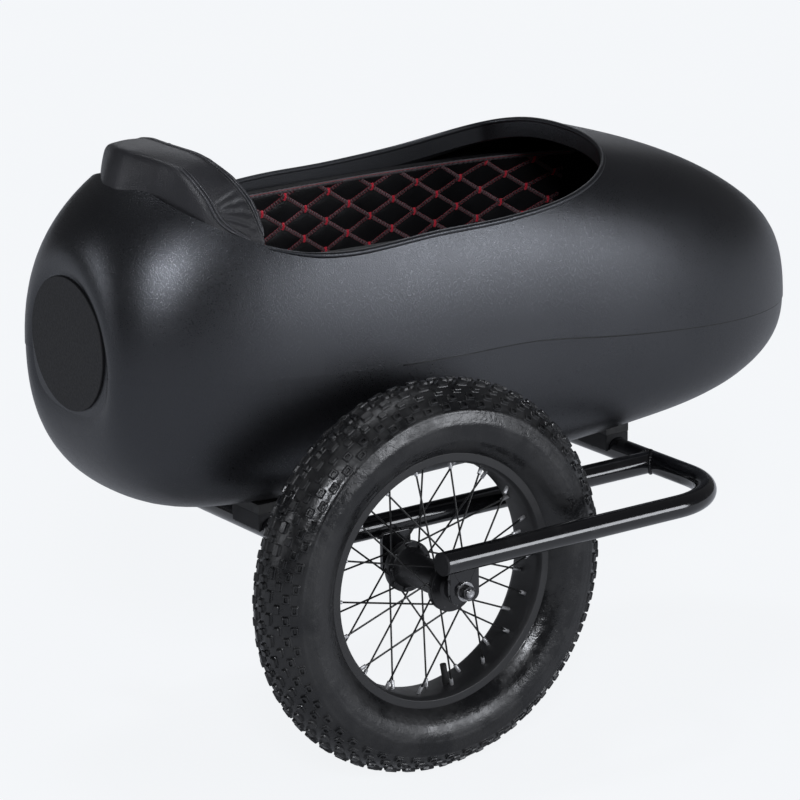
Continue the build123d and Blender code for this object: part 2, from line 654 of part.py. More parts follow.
def lug_plane(number, tilt):
    """The root of one lug: its number in the row, and the row's degrees across the tread."""
    angle = 360 * (number + 0.5) / LUG_COUNT
    around = Plane(origin=AXLE, x_dir=(1, 0, 0), z_dir=(0, 1, 0)).rotated((0, angle, 0))
    section = around.origin + around.x_dir * SECTION_RADIUS
    out = around.x_dir * math.cos(math.radians(tilt)) + Vector(0, 1, 0) * math.sin(math.radians(tilt))
    return Plane(origin=section + out * (CASING_RADIUS - LUG_ROOT), x_dir=around.y_dir, z_dir=out)


lugs = []
for tilt, length, width in LUG_ROWS:
    with BuildPart() as lug:
        with BuildSketch():
            Rectangle(length, width)
        extrude(amount=LUG_HEIGHT + LUG_ROOT, taper=LUG_TAPER)
    for row in {tilt, -tilt}:
        lugs += [lug.part.moved(lug_plane(number, row).location) for number in range(LUG_COUNT)]

with BuildPart() as tyre:
    add(tyre_casing.part)
    add(lugs)
save(tyre.part, "tyre")


# ---------------------------------------------------------------- spokes and nipples
def wheel_point(radius, degrees, y):
    angle = math.radians(degrees)
    return AXLE + Vector(radius * math.cos(angle), y, radius * math.sin(angle))


def spoke_lines():
    """The hub end and the rim end of every spoke: half lead and half trail on each flange."""
    pitch = 360 / SPOKE_COUNT
    lines = []
    for side in (-1, 1):
        for hole in range(SPOKE_COUNT // 2):
            lead = 1 if hole % 2 == 0 else -1
            hub_angle = 2 * pitch * hole + (pitch if side > 0 else 0)
            rim_angle = hub_angle + lead * 2 * pitch * SPOKE_CROSSES
            root = wheel_point(FLANGE_DIA / 2 - SPOKE_EDGE, hub_angle, side * flange_y + lead * SPOKE_STAGGER)
            end = wheel_point(well_radius + RIM_BITE, rim_angle, side * SPOKE_SPREAD)
            lines.append((root, end))
    return lines


with BuildPart() as spokes:
    for root, end in spoke_lines():
        along = (end - root).normalized()
        add(tube(root, end - along * NIPPLE_LENGTH, SPOKE_DIA / 2, 0))
    add(hub_shell.part, mode=Mode.SUBTRACT)
save(spokes.part, "spokes")

with BuildPart() as spoke_nipples:
    for root, end in spoke_lines():
        along = (end - root).normalized()
        add(tube(end - along * NIPPLE_LENGTH, end, NIPPLE_DIA / 2, 0))
    add(rim.part, mode=Mode.SUBTRACT)
save(spoke_nipples.part, "spoke_nipples")

valve_tip = wheel_point(well_radius - VALVE_LENGTH, VALVE_ANGLE, 0)
valve_root = wheel_point(well_radius + RIM_BITE, VALVE_ANGLE, 0)
with BuildPart() as valve_stem:
    add(tube(valve_tip, valve_root, VALVE_DIA / 2, 0))
    add(rim.part, mode=Mode.SUBTRACT)
save(valve_stem.part, "valve_stem")
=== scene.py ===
import json
import math

import bmesh
import bpy
import numpy as np
from mathutils import Matrix, Vector
from mathutils.bvhtree import BVHTree


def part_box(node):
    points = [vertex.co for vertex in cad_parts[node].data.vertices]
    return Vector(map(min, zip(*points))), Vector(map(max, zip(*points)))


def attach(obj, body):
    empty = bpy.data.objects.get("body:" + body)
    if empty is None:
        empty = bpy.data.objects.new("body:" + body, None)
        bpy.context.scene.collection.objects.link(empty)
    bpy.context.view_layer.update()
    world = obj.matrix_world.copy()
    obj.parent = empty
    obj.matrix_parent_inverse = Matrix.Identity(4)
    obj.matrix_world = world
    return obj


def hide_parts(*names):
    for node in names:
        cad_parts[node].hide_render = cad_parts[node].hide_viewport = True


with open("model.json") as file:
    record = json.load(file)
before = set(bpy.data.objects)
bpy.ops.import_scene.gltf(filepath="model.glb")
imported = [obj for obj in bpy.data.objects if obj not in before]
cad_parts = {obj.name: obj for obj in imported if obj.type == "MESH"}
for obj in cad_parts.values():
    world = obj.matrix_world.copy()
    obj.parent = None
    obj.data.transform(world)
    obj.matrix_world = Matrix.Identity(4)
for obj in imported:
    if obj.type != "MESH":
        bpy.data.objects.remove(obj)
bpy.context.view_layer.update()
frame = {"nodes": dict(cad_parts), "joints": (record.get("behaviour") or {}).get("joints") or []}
nodes = frame["nodes"]

MM = 0.001
AXLE = Vector(frame["joints"][0]["pos_m"])
DOWN = Vector((0, 0, -1))
CHASSIS = "chassis"
WHEEL = "wheel"

# ---------------- places read from the frame
pod_low, pod_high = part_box("pod_upper")
POD_Y = (pod_low.y + pod_high.y) / 2
tyre_low, tyre_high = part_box("tyre")
TYRE_RADIUS = (tyre_high.z - tyre_low.z) / 2
rim_low, rim_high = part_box("rim")
RIM_RADIUS = (rim_high.z - rim_low.z) / 2
RIM_HALF = (rim_high.y - rim_low.y) / 2
tube_low, tube_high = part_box("rear_cross_tube")
TUBE_RADIUS = (tube_high.z - tube_low.z) / 2
FLOOR_Z = tyre_low.z


# ---------------- mesh helpers
def add_mesh(name, points, faces, material, body, angle=40.0):
    """A mesh piece that rides on a body, smooth but for edges sharper than the angle."""
    mesh = bpy.data.meshes.new(name)
    mesh.from_pydata([tuple(p) for p in points], [], [tuple(f) for f in faces])
    mesh.validate()
    mesh.shade_smooth()
    mesh.set_sharp_from_angle(angle=math.radians(angle))
    mesh.materials.append(material)
    piece = bpy.data.objects.new(name, mesh)
    bpy.context.scene.collection.objects.link(piece)
    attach(piece, body)
    return piece


def grid_faces(rows, columns, close_rows=False, close_columns=False):
    """Quads of a grid of points kept row by row."""
    faces = []
    for row in range(rows if close_rows else rows - 1):
        for column in range(columns if close_columns else columns - 1):
            a = row * columns + column
            b = row * columns + (column + 1) % columns
            c = ((row + 1) % rows) * columns + (column + 1) % columns
            d = ((row + 1) % rows) * columns + column
            faces.append((a, b, c, d))
    return faces


def merged(parts):
    """Several (points, faces) as one."""
    points = []
    faces = []
    for part_points, part_faces in parts:
        start = len(points)
        points.extend(part_points)
        faces.extend(tuple(index + start for index in face) for face in part_faces)
    return points, faces


def add_parts(name, parts, material, body, angle):
    """Several (points, faces) as one mesh piece."""
    points, faces = merged(parts)
    return add_mesh(name, points, faces, material, body, angle)


def turns(count):
    """Angles evenly spaced round a circle."""
    return [2 * math.pi * k / count for k in range(count)]


def flipped(faces):
    return [face[::-1] for face in faces]


def last_ring(rows, columns):
    """One face that closes the last row of a grid."""
    return tuple(range((rows - 1) * columns, rows * columns))


def about_axle(radius, angle, across):
    """A place at a distance from the axle's line, and across from the wheel's plane."""
    return Vector((AXLE.x + radius * math.cos(angle), AXLE.y + across, AXLE.z + radius * math.sin(angle)))


def lathe(profile, steps):
    """A ring round the axle from a closed profile of (across, radius) pairs, in metres."""
    points = [about_axle(radius, angle, across) for angle in turns(steps) for across, radius in profile]
    return points, grid_faces(steps, len(profile), True, True)


def smooth_curve(knots, count):
    """Points of a Catmull-Rom curve through the knots, evenly spaced in its parameter."""
    spans = len(knots) - 1
    points = []
    for step in range(count):
        t = step * spans / (count - 1)
        i = min(int(t), spans - 1)
        u = t - i
        p1, p2 = knots[i], knots[i + 1]
        p0 = knots[i - 1] if i else p1 + (p1 - p2)
        p3 = knots[i + 2] if i + 2 < len(knots) else p2 + (p2 - p1)
        points.append(0.5 * ((2 * p1) + (p2 - p0) * u + (2 * p0 - 5 * p1 + 4 * p2 - p3) * u * u
                             + (3 * p1 - p0 - 3 * p2 + p3) * u ** 3))
    return points


def tube_along(path, radius, sides=10, closed=False, up=None):
    """(points, faces) of a round tube along a path; radius is a number or one number a point."""
    path = [Vector(p) for p in path]
    radii = list(radius) if hasattr(radius, "__len__") else [radius] * len(path)
    count = len(path)
    points = []
    last_side = None
    for i, place in enumerate(path):
        before = path[i - 1] if (i or closed) else place
        after = path[(i + 1) % count] if (i + 1 < count or closed) else place
        along = (after - before).normalized()
        hint = up[i] if up else (last_side if last_side else Vector((0, 0, 1)))
        if abs(along.dot(hint)) > 0.98:
            hint = Vector((1, 0, 0)) if abs(along.x) < 0.9 else Vector((0, 1, 0))
        side = (hint - along * hint.dot(along)).normalized()
        last_side = side
        other = along.cross(side)
        for turn in turns(sides):
            points.append(place + side * (math.cos(turn) * radii[i]) + other * (math.sin(turn) * radii[i]))
    faces = grid_faces(count, sides, closed, True)
    if not closed:
        faces.append(tuple(range(sides))[::-1])
        faces.append(last_ring(count, sides))
    return points, faces


def tree_of(mesh):
    """A tree of a mesh's faces, for rays."""
    points = [v.co.copy() for v in mesh.vertices]
    return BVHTree.FromPolygons(points, [tuple(p.vertices) for p in mesh.polygons])


# ---------------- material helpers
class Shader:
    """A Principled material built node by node, on object coordinates in metres."""

    def __init__(self, name, color, roughness, **sockets):
        self.material = bpy.data.materials.new(name)
        self.material.use_nodes = True
        self.tree = self.material.node_tree
        self.base = self.tree.nodes["Principled BSDF"]
        self.set(self.base, "Base Color", (*color, 1.0))
        self.set(self.base, "Roughness", roughness)
        for socket, value in sockets.items():
            self.set(self.base, socket.replace("_", " "), value)
        self.place = self.tree.nodes.new("ShaderNodeTexCoord").outputs["Object"]
        self.height = None

    def set(self, node, socket, value):
        node.inputs[socket].default_value = value

    def node(self, kind, **inputs):
        node = self.tree.nodes.new(kind)
        for socket, value in inputs.items():
            name = socket.replace("_", " ")
            if isinstance(value, bpy.types.NodeSocket):
                self.tree.links.new(value, node.inputs[name])
            else:
                node.inputs[name].default_value = value
        return node

    def noise(self, size, detail=2.0, rough=0.5, stretch=None, seed=0.0):
        """Noise from 0 to 1 whose lumps are about this size in metres."""
        node = self.node("ShaderNodeTexNoise", Scale=1.0 / size, Detail=detail, Roughness=rough)
        mapping = self.node("ShaderNodeMapping", Vector=self.place)
        mapping.inputs["Location"].default_value = (seed, seed * 1.7, seed * 0.3)
        if stretch:
            mapping.inputs["Scale"].default_value = stretch
        self.tree.links.new(mapping.outputs["Vector"], node.inputs["Vector"])
        return node.outputs["Fac"]

    def cells(self, size):
        """Distance to the nearest cell's middle, for cells of about this size in metres."""
        node = self.node("ShaderNodeTexVoronoi", Scale=1.0 / size, Vector=self.place)
        return node.outputs["Distance"]

    def ramp(self, value, low, high, to_low=0.0, to_high=1.0):
        """The value's span from low to high, mapped to another span and clamped."""
        node = self.tree.nodes.new("ShaderNodeMapRange")
        for socket, limit in zip(("From Min", "From Max", "To Min", "To Max"), (low, high, to_low, to_high)):
            node.inputs[socket].default_value = limit
        self.tree.links.new(value, node.inputs["Value"])
        return node.outputs["Result"]

    def math(self, operation, first, second=None):
        node = self.tree.nodes.new("ShaderNodeMath")
        node.operation = operation
        for slot, value in enumerate((first, second)):
            if isinstance(value, bpy.types.NodeSocket):
                self.tree.links.new(value, node.inputs[slot])
            elif value is not None:
                node.inputs[slot].default_value = value
        return node.outputs[0]

    def mix(self, share, first, second):
        """A colour between two colours, or colour sockets, by a share."""
        node = self.tree.nodes.new("ShaderNodeMix")
        node.data_type = "RGBA"
        self.tree.links.new(share, node.inputs["Factor"])
        for slot, value in ((6, first), (7, second)):
            if isinstance(value, bpy.types.NodeSocket):
                self.tree.links.new(value, node.inputs[slot])
            else:
                node.inputs[slot].default_value = (*value, 1.0)
        return node.outputs[2]

    def use(self, value, socket):
        self.tree.links.new(value, self.base.inputs[socket])

    def tint(self, value, low, high, first, second):
        """Base colour from the first to the second as the value goes from low to high."""
        self.use(self.mix(self.ramp(value, low, high), first, second), "Base Color")

    def roughen(self, value, low, high, to_low, to_high):
        """Roughness from one to the other as the value goes from low to high."""
        self.use(self.ramp(value, low, high, to_low, to_high), "Roughness")

    def bump(self, value, depth):
        """Adds relief of this depth in metres."""
        node = self.node("ShaderNodeBump", Height=value, Distance=depth, Strength=1.0)
        if self.height is not None:
            self.tree.links.new(self.height, node.inputs["Normal"])
        self.height = node.outputs["Normal"]
        self.tree.links.new(self.height, self.base.inputs["Normal"])


def scaled(color, factor):
    return tuple(min(1.0, part * factor) for part in color)


LIP_ROUGHNESS = 0.60            # of the moulding's faces that look into the cockpit


def pod_material():
    """Black moulded plastic with a fine sparkling grain, dull on the faces that look inwards."""
    s = Shader("pod_plastic", (0.006, 0.006, 0.007), 0.30, Specular_IOR_Level=0.85)
    grain = s.noise(0.0013, 1.0, 0.5)
    cloud = s.noise(0.16, 2.0, 0.5, seed=3.0)
    s.tint(cloud, 0.35, 0.7, (0.0045, 0.0045, 0.0052), (0.0075, 0.0075, 0.0085))
    rough = s.math("ADD", s.ramp(grain, 0.3, 0.7, -0.07, 0.07), s.ramp(cloud, 0.3, 0.7, 0.30, 0.36))
    place = s.node("ShaderNodeSeparateXYZ", Vector=s.place)
    facing = s.node("ShaderNodeSeparateXYZ", Vector=s.place.node.outputs["Normal"])
    side = s.math("SIGN", s.math("SUBTRACT", place.outputs["Y"], POD_Y))
    inwards = s.ramp(s.math("MULTIPLY", side, facing.outputs["Y"]), -0.45, -0.65)
    s.use(s.math("MAXIMUM", rough, s.math("MULTIPLY", inwards, LIP_ROUGHNESS)), "Roughness")
    s.bump(grain, 0.00023)
    s.set(s.base, "Specular Tint", (0.90, 0.93, 1.0, 1.0))
    return s.material


def finish(name, color, roughness, tint=None, rough=None, bumps=(), **sockets):
    """A material whose colour, roughness and relief follow noises, each given by its arguments."""
    s = Shader(name, color, roughness, **sockets)
    if tint:
        s.tint(s.noise(*tint[0]), *tint[1:])
    if rough:
        s.roughen(s.noise(*rough[0]), *rough[1:])
    for grain, depth in bumps:
        s.bump(s.noise(*grain), depth)
    return s.material


def tyre_material():
    """Black rubber, dressed in patches that shine."""
    s = Shader("tyre_rubber", (0.010, 0.010, 0.0105), 0.3, Specular_IOR_Level=0.55)
    dressed = s.ramp(s.noise(0.050, 3.0, 0.55, seed=11.0), 0.40, 0.60)
    smear = s.noise(0.010, 4.0, 0.7, seed=1.0)
    s.use(s.mix(dressed, (0.016, 0.016, 0.0165), (0.006, 0.0062, 0.007)), "Base Color")
    rough = s.math("SUBTRACT", 0.40, s.math("MULTIPLY", dressed, 0.20))
    s.use(s.math("ADD", rough, s.ramp(smear, 0.3, 0.7, -0.06, 0.10)), "Roughness")
    s.bump(s.noise(0.0016, 2.0, 0.5), 0.00012)
    s.bump(s.noise(0.009, 3.0, 0.6, seed=5.0), 0.0006)
    return s.material


def leather_material(name, color, roughness):
    """Leathercloth: small pebbles with creases between."""
    s = Shader(name, color, roughness, Specular_IOR_Level=0.5)
    pebble = s.cells(0.0019)
    pore = s.noise(0.0008, 2.0, 0.5)
    tint = s.noise(0.05, 3.0, 0.55, seed=7.0)
    s.tint(tint, 0.35, 0.7, scaled(color, 0.8), scaled(color, 1.35))
    s.roughen(pebble, 0.0, 0.6, roughness - 0.06, roughness + 0.12)
    s.bump(s.math("SUBTRACT", 1.0, pebble), 0.00022)
    s.bump(pore, 0.00006)
    return s.material


TWIST = (0.0009, 2.0, 0.5, (1, 1, 3))


def thread_material(name, color):
    return finish(name, color, 0.55, (TWIST, 0.3, 0.7, scaled(color, 0.55), scaled(color, 1.25)),
                  bumps=((TWIST, 0.0002),), Sheen_Weight=0.4)


# Noises: lump size in metres, detail, roughness, stretch, seed.
DISC_GRAIN = (0.0028, 2.0, 0.5, None, 5.0)
DUST = (0.03, 4.0, 0.65, None, 8.0)
WEAR = (0.004, 4.0, 0.65)
PLATING_WEAR = (0.003, 3.0, 0.6, None, 14.0)
BLACK_WEAR = (0.003, 4.0, 0.65, None, 9.0)
FIBRE = (0.0012, 4.0, 0.75)
SCUFF = (0.006, 4.0, 0.65, None, 12.0)
FIGURE = (0.02, 5.0, 0.65, (1, 0.12, 1))

POD = pod_material()
TYRE = tyre_material()
DISC = finish("disc_plastic", (0.008, 0.008, 0.009), 0.5, None, (DISC_GRAIN, 0.3, 0.7, 0.45, 0.58),
              ((DISC_GRAIN, 0.0002),), Specular_IOR_Level=0.35)
# Gloss black paint on steel tube, with faint dust.
PAINT = finish("gloss_paint", (0.006, 0.006, 0.007), 0.16,
               (DUST, 0.55, 0.8, (0.005, 0.005, 0.006), (0.016, 0.016, 0.017)),
               (DUST, 0.5, 0.75, 0.13, 0.30), (((0.006,), 0.00012),),
               Specular_IOR_Level=0.5, Coat_Weight=0.6, Coat_Roughness=0.05)
# Painted weld, with grains of spatter.
BEAD = finish("painted_weld", (0.008, 0.008, 0.009), 0.28, None,
              ((0.004, 3.0, 0.6), 0.35, 0.7, 0.2, 0.4), (((0.0025, 3.0, 0.6, None, 2.0), 0.0006),))
ZINC = finish("bright_zinc", (0.55, 0.55, 0.56), 0.28,
              (WEAR, 0.35, 0.7, (0.60, 0.60, 0.61), (0.36, 0.355, 0.35)),
              (WEAR, 0.3, 0.7, 0.2, 0.42), (((0.0012, 2.0, 0.5, (1, 6, 1)), 0.00005),), Metallic=1.0)
# Plated nipples, bright from every side: the diffuse share of their pale colour is painted reflection.
NICKEL_PAINTED_REFLECTION = finish("plated_nickel_painted_reflection", (0.62, 0.62, 0.63), 0.32,
                (PLATING_WEAR, 0.4, 0.7, (0.66, 0.66, 0.67), (0.40, 0.40, 0.40)),
                (PLATING_WEAR, 0.3, 0.7, 0.24, 0.42), Metallic=0.55)
# Black-coated steel, worn bright in scattered spots.
ZINC_DARK = finish("black_zinc", (0.05, 0.05, 0.052), 0.34,
                   (BLACK_WEAR, 0.5, 0.72, (0.04, 0.04, 0.042), (0.22, 0.22, 0.225)),
                   (BLACK_WEAR, 0.3, 0.7, 0.28, 0.45), Metallic=0.8)
HUB = finish("hub_black", (0.010, 0.010, 0.011), 0.32, None,
             ((0.02, 3.0, 0.6, None, 4.0), 0.35, 0.7, 0.25, 0.42),
             (((0.0015, 2.0, 0.5, (1, 8, 1)), 0.00006),), Specular_IOR_Level=0.5)
# Satin black anodised rim, lighter than the tyre.
RIM = finish("rim_black", (0.022, 0.022, 0.023), 0.44, None,
             ((0.03, 3.0, 0.6, None, 6.0), 0.3, 0.7, 0.38, 0.5),
             (((0.0009,), 0.00005),), Specular_IOR_Level=0.45)
SPOKE = finish("spoke_black", (0.008, 0.008, 0.008), 0.3, None, ((0.012,), 0.3, 0.7, 0.24, 0.38))
RUBBER = finish("plain_rubber", (0.014, 0.014, 0.014), 0.6, None,
                ((0.01, 3.0, 0.6), 0.3, 0.7, 0.5, 0.7), (((0.0015,), 0.0001),))
CARPET = finish("floor_felt", (0.018, 0.018, 0.018), 0.95,
                (FIBRE, 0.35, 0.65, (0.008, 0.008, 0.008), (0.035, 0.035, 0.036)),
                bumps=((FIBRE, 0.0012),), Sheen_Weight=0.3)
# Dull black coating, for what is under the pod and for the tube ends.
DULL = finish("dull_black", (0.012, 0.012, 0.013), 0.6,
              (SCUFF, 0.45, 0.75, (0.009, 0.009, 0.010), (0.024, 0.024, 0.026)),
              (SCUFF, 0.3, 0.7, 0.52, 0.7), (((0.0016,), 0.0001),), Specular_IOR_Level=0.3)
# Black-stained board with its figure just showing.
BOARD = finish("black_board", (0.012, 0.012, 0.012), 0.6,
               (FIGURE, 0.35, 0.65, (0.008, 0.008, 0.008), (0.020, 0.019, 0.018)),
               bumps=((FIGURE, 0.0004),))
QUILT = leather_material("quilt_leathercloth", (0.011, 0.011, 0.012), 0.30)
LEATHER = leather_material("pad_leathercloth", (0.021, 0.021, 0.024), 0.34)
# The puckers are the quilt's black leathercloth, coloured lighter pinkish grey: painted sheen.
RIB_PAINTED_SHEEN = leather_material("rib_leathercloth_painted_sheen", (0.13, 0.075, 0.083), 0.38)
# The hem is the liner's black leathercloth turned over, coloured lighter grey: painted sheen.
HEM_PAINTED_SHEEN = leather_material("hem_leathercloth", (0.10, 0.09, 0.096), 0.36)
PIPING = leather_material("piping_leathercloth", (0.050, 0.050, 0.055), 0.22)
RED_THREAD = thread_material("red_thread", (0.34, 0.008, 0.022))
RED_BAR = thread_material("red_bar_thread", (0.90, 0.012, 0.045))
BLACK_THREAD = thread_material("black_thread", (0.03, 0.03, 0.032))

NODE_FINISHES = (
    (POD, "pod_upper pod_lower"),
    (DISC, "tail_disc"),
    (PAINT, "main_tube inner_rail rear_cross_tube bike_side_rail coupling_eye_rear coupling_eye_front"),
    (PAINT, "dropout_outer dropout_inner"),
    (DULL, "outer_rail_cap rear_cross_cap pod_saddles liner_left liner_right"),
    (RUBBER, "saddle_rubbers valve_stem"),
    (ZINC, "axle axle_nuts axle_washers lock_nuts"),
    (HUB, "hub_shell"),
    (RIM, "rim"),
    (TYRE, "tyre"),
    (SPOKE, "spokes"),
    # The nipples' pale diffuse colour is painted reflection.
    (NICKEL_PAINTED_REFLECTION, "spoke_nipples"),
    (CARPET, "cockpit_floor"),
    (BOARD, "bulkhead"),
    (QUILT, "seat_cushion seat_back"),
    (LEATHER, "headrest_pad"),
)
for material, names in NODE_FINISHES:
    for name in names.split():
        nodes[name].data.materials.clear()
        nodes[name].data.materials.append(material)


# ---------------- CAD edges
SOFT_EDGES = {                  # millimetres
    "tail_disc": 0.8, "outer_rail_cap": 0.9, "rear_cross_cap": 0.9, "coupling_eye_rear": 1.2,
    "coupling_eye_front": 1.2, "dropout_outer": 0.8, "dropout_inner": 0.8, "pod_saddles": 1.2,
    "axle_washers": 0.4, "lock_nuts": 0.8, "hub_shell": 0.9, "rim": 0.6, "spoke_nipples": 0.5,
    "bulkhead": 0.8,
}


def soften(name, width):
    """Rounds a CAD node's hard edges, with its mesh as it was."""
    weld = nodes[name].modifiers.new("join_faces", "WELD")
    weld.merge_threshold = 0.02 * MM
    bevel = nodes[name].modifiers.new("soften", "BEVEL")
    bevel.width = width
    bevel.segments = 2
    bevel.limit_method = "ANGLE"
    bevel.angle_limit = math.radians(40)
    bevel.miter_outer = "MITER_ARC"


for name, width in SOFT_EDGES.items():
    soften(name, width * MM)


# ---------------- tyre
LUG_HEIGHT = 4 * MM
CASING_RADIUS = (tyre_high.y - tyre_low.y) / 2              # of the casing's round section
SECTION_R = TYRE_RADIUS - LUG_HEIGHT - CASING_RADIUS        # that section's middle, from the axle
RING_ANGLE = math.radians(66)                               # of the raised ring at the tread's edge
BLOCK_COUNT = 54
CASING_STEPS = 180
CASING_WALL = 5 * MM
SIPE_WIDTH = 1.4 * MM
BLOCK_SINK = 0.8 * MM           # how far a block's foot goes into the casing
BLOCK_CORNER = 1.4 * MM


def casing_profile():
    """The casing's outline: round outside, thin inside, with raised rings each side and feet in the rim."""
    outer = []
    foot = RIM_HALF - 3 * MM
    start = math.atan2(foot, RIM_RADIUS + 1 * MM - SECTION_R)
    steps = 84
    for step in range(steps + 1):
        angle = -start + 2 * start * step / steps
        radius = CASING_RADIUS
        for side in (-1, 1):
            away = (angle - side * RING_ANGLE) * CASING_RADIUS / (1.5 * MM)
            radius += 1.6 * MM * math.exp(-away * away)
            for line in (math.radians(86), math.radians(112)):
                away = (angle - side * line) * CASING_RADIUS / (0.9 * MM)
                radius += 0.5 * MM * math.exp(-away * away)
        outer.append((radius * math.sin(angle), SECTION_R + radius * math.cos(angle)))
    inner = []
    for step in range(25):
        angle = start - 2 * start * step / 24
        radius = CASING_RADIUS - CASING_WALL
        inner.append((radius * math.sin(angle), SECTION_R + radius * math.cos(angle)))
    bead = RIM_RADIUS - 6 * MM
    feet_right = [(foot, bead), (foot - 5 * MM, bead)]
    feet_left = [(-foot + 5 * MM, bead), (-foot, bead)]
    return outer + feet_right + inner + feet_left


def block(angle, tilt, length, width, height, hollow=False, siped=False):
    """One tread block: a rounded frustum on the casing. The tilt is its place across the tread."""
    radial = Vector((math.cos(angle), 0, math.sin(angle)))
    across = Vector((0, 1, 0))
    along = Vector((-math.sin(angle), 0, math.cos(angle)))
    out = radial * math.cos(tilt) + across * math.sin(tilt)
    side = across * math.cos(tilt) - radial * math.sin(tilt)
    foot = AXLE + radial * SECTION_R + out * (CASING_RADIUS - BLOCK_SINK)
    top = height + BLOCK_SINK
    levels = [(0.0, 1.6 * MM), (0.9 * MM, 0.7 * MM), (height * 0.5, 0.25 * MM),
              (top - 0.6 * MM, 0.0), (top, -0.6 * MM)]
    if hollow:
        levels += [(top, -2.0 * MM), (height - 1.6 * MM, -2.8 * MM)]
    spans = [(0.0, length)]
    if siped:
        half = (length - SIPE_WIDTH) / 2
        spans = [(-(half + SIPE_WIDTH) / 2, half), ((half + SIPE_WIDTH) / 2, half)]
    parts = []
    for middle, span in spans:
        points = []
        for level, grow in levels:
            a = span / 2 + grow
            b = width / 2 + grow
            r = min(BLOCK_CORNER, a * 0.4, b * 0.4)
            outline = [(a, -b + r), (a, b - r), (a - r, b), (-a + r, b),
                       (-a, b - r), (-a, -b + r), (-a + r, -b), (a - r, -b)]
            for u, v in outline:
                points.append(foot + along * (middle + u) + side * v + out * level)
        faces = grid_faces(len(levels), len(outline), False, True)
        faces.append(last_ring(len(levels), len(outline)))
        parts.append((points, faces))
    return merged(parts)


TREAD_ROWS = (
    # degrees across the tread, length along it, width, height, hollow, siped, phase
    (0.0, 15.5, 8.5, 4.0, False, True, 0.5),
    (14.8, 13.5, 7.5, 4.0, False, False, 0.0),
    (29.6, 10.0, 7.0, 4.0, False, False, 0.5),
    (43.0, 10.5, 8.0, 3.2, True, False, 0.0),
    (56.0, 11.0, 8.0, 2.6, True, False, 0.5),
)


def make_tyre():
    points, faces = lathe(casing_profile(), CASING_STEPS)
    casing = add_mesh("tyre_casing", points, flipped(faces), TYRE, WHEEL, 60)
    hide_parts("tyre")
    parts = []
    for tilt, length, width, height, hollow, siped, phase in TREAD_ROWS:
        for side in ((1,) if tilt == 0 else (-1, 1)):
            for number in range(BLOCK_COUNT):
                angle = 2 * math.pi * (number + phase) / BLOCK_COUNT
                place = side * math.radians(tilt)
                parts.append(block(-angle, place, length * MM, width * MM, height * MM, hollow, siped))
    add_parts("tread_blocks", parts, TYRE, WHEEL, 25)


make_tyre()


# ---------------- quilting
DIAMOND_LENGTH = 68.2 * MM
DIAMOND_HEIGHT = 40.3 * MM
DIAMOND_EDGE = math.hypot(DIAMOND_LENGTH, DIAMOND_HEIGHT)
LINE_SPACING = DIAMOND_LENGTH * DIAMOND_HEIGHT / DIAMOND_EDGE   # between parallel quilting lines
ROW_GAP = 4.0 * MM              # between a line's two rows of stitches
STITCH_PITCH = 4.2 * MM
BAR_LENGTH = 9.5 * MM
PUFF = 2.2 * MM                 # how far a diamond's middle stands over its stitched edges
THREAD = (1.0 * MM, 0.48 * MM, 4)       # lift, radius and sides of a stitch,
PUCKER = (1.6 * MM, 1.75 * MM, 5)       # of the rib between two stitches,
BAR = (2.6 * MM, 1.1 * MM, 7)           # and of a bar where two lines cross
BAR_GAP = 0.85 * MM
LINER_SLOPE = 0.054              # how far the liners' rows of diamonds fall, going ahead


def line_distances(a, b, origin):
    """How far a place on a quilt is from the nearest line of each family."""
    a, b = a - origin[0], b - origin[1]
    found = []
    for lean in (1, -1):
        share = a / DIAMOND_LENGTH + lean * b / DIAMOND_HEIGHT
        found.append(abs(share - round(share)) * LINE_SPACING)
    return found


def puff_at(a, b, origin):
    """Height of the padding, from 0 on the stitched lines to about 1 in the middle of a diamond."""
    height = 1.0
    for distance in line_distances(a, b, origin):
        height *= 1.0 - math.exp(-max(0.0, distance - ROW_GAP * 0.45) / (4.2 * MM))
    return height


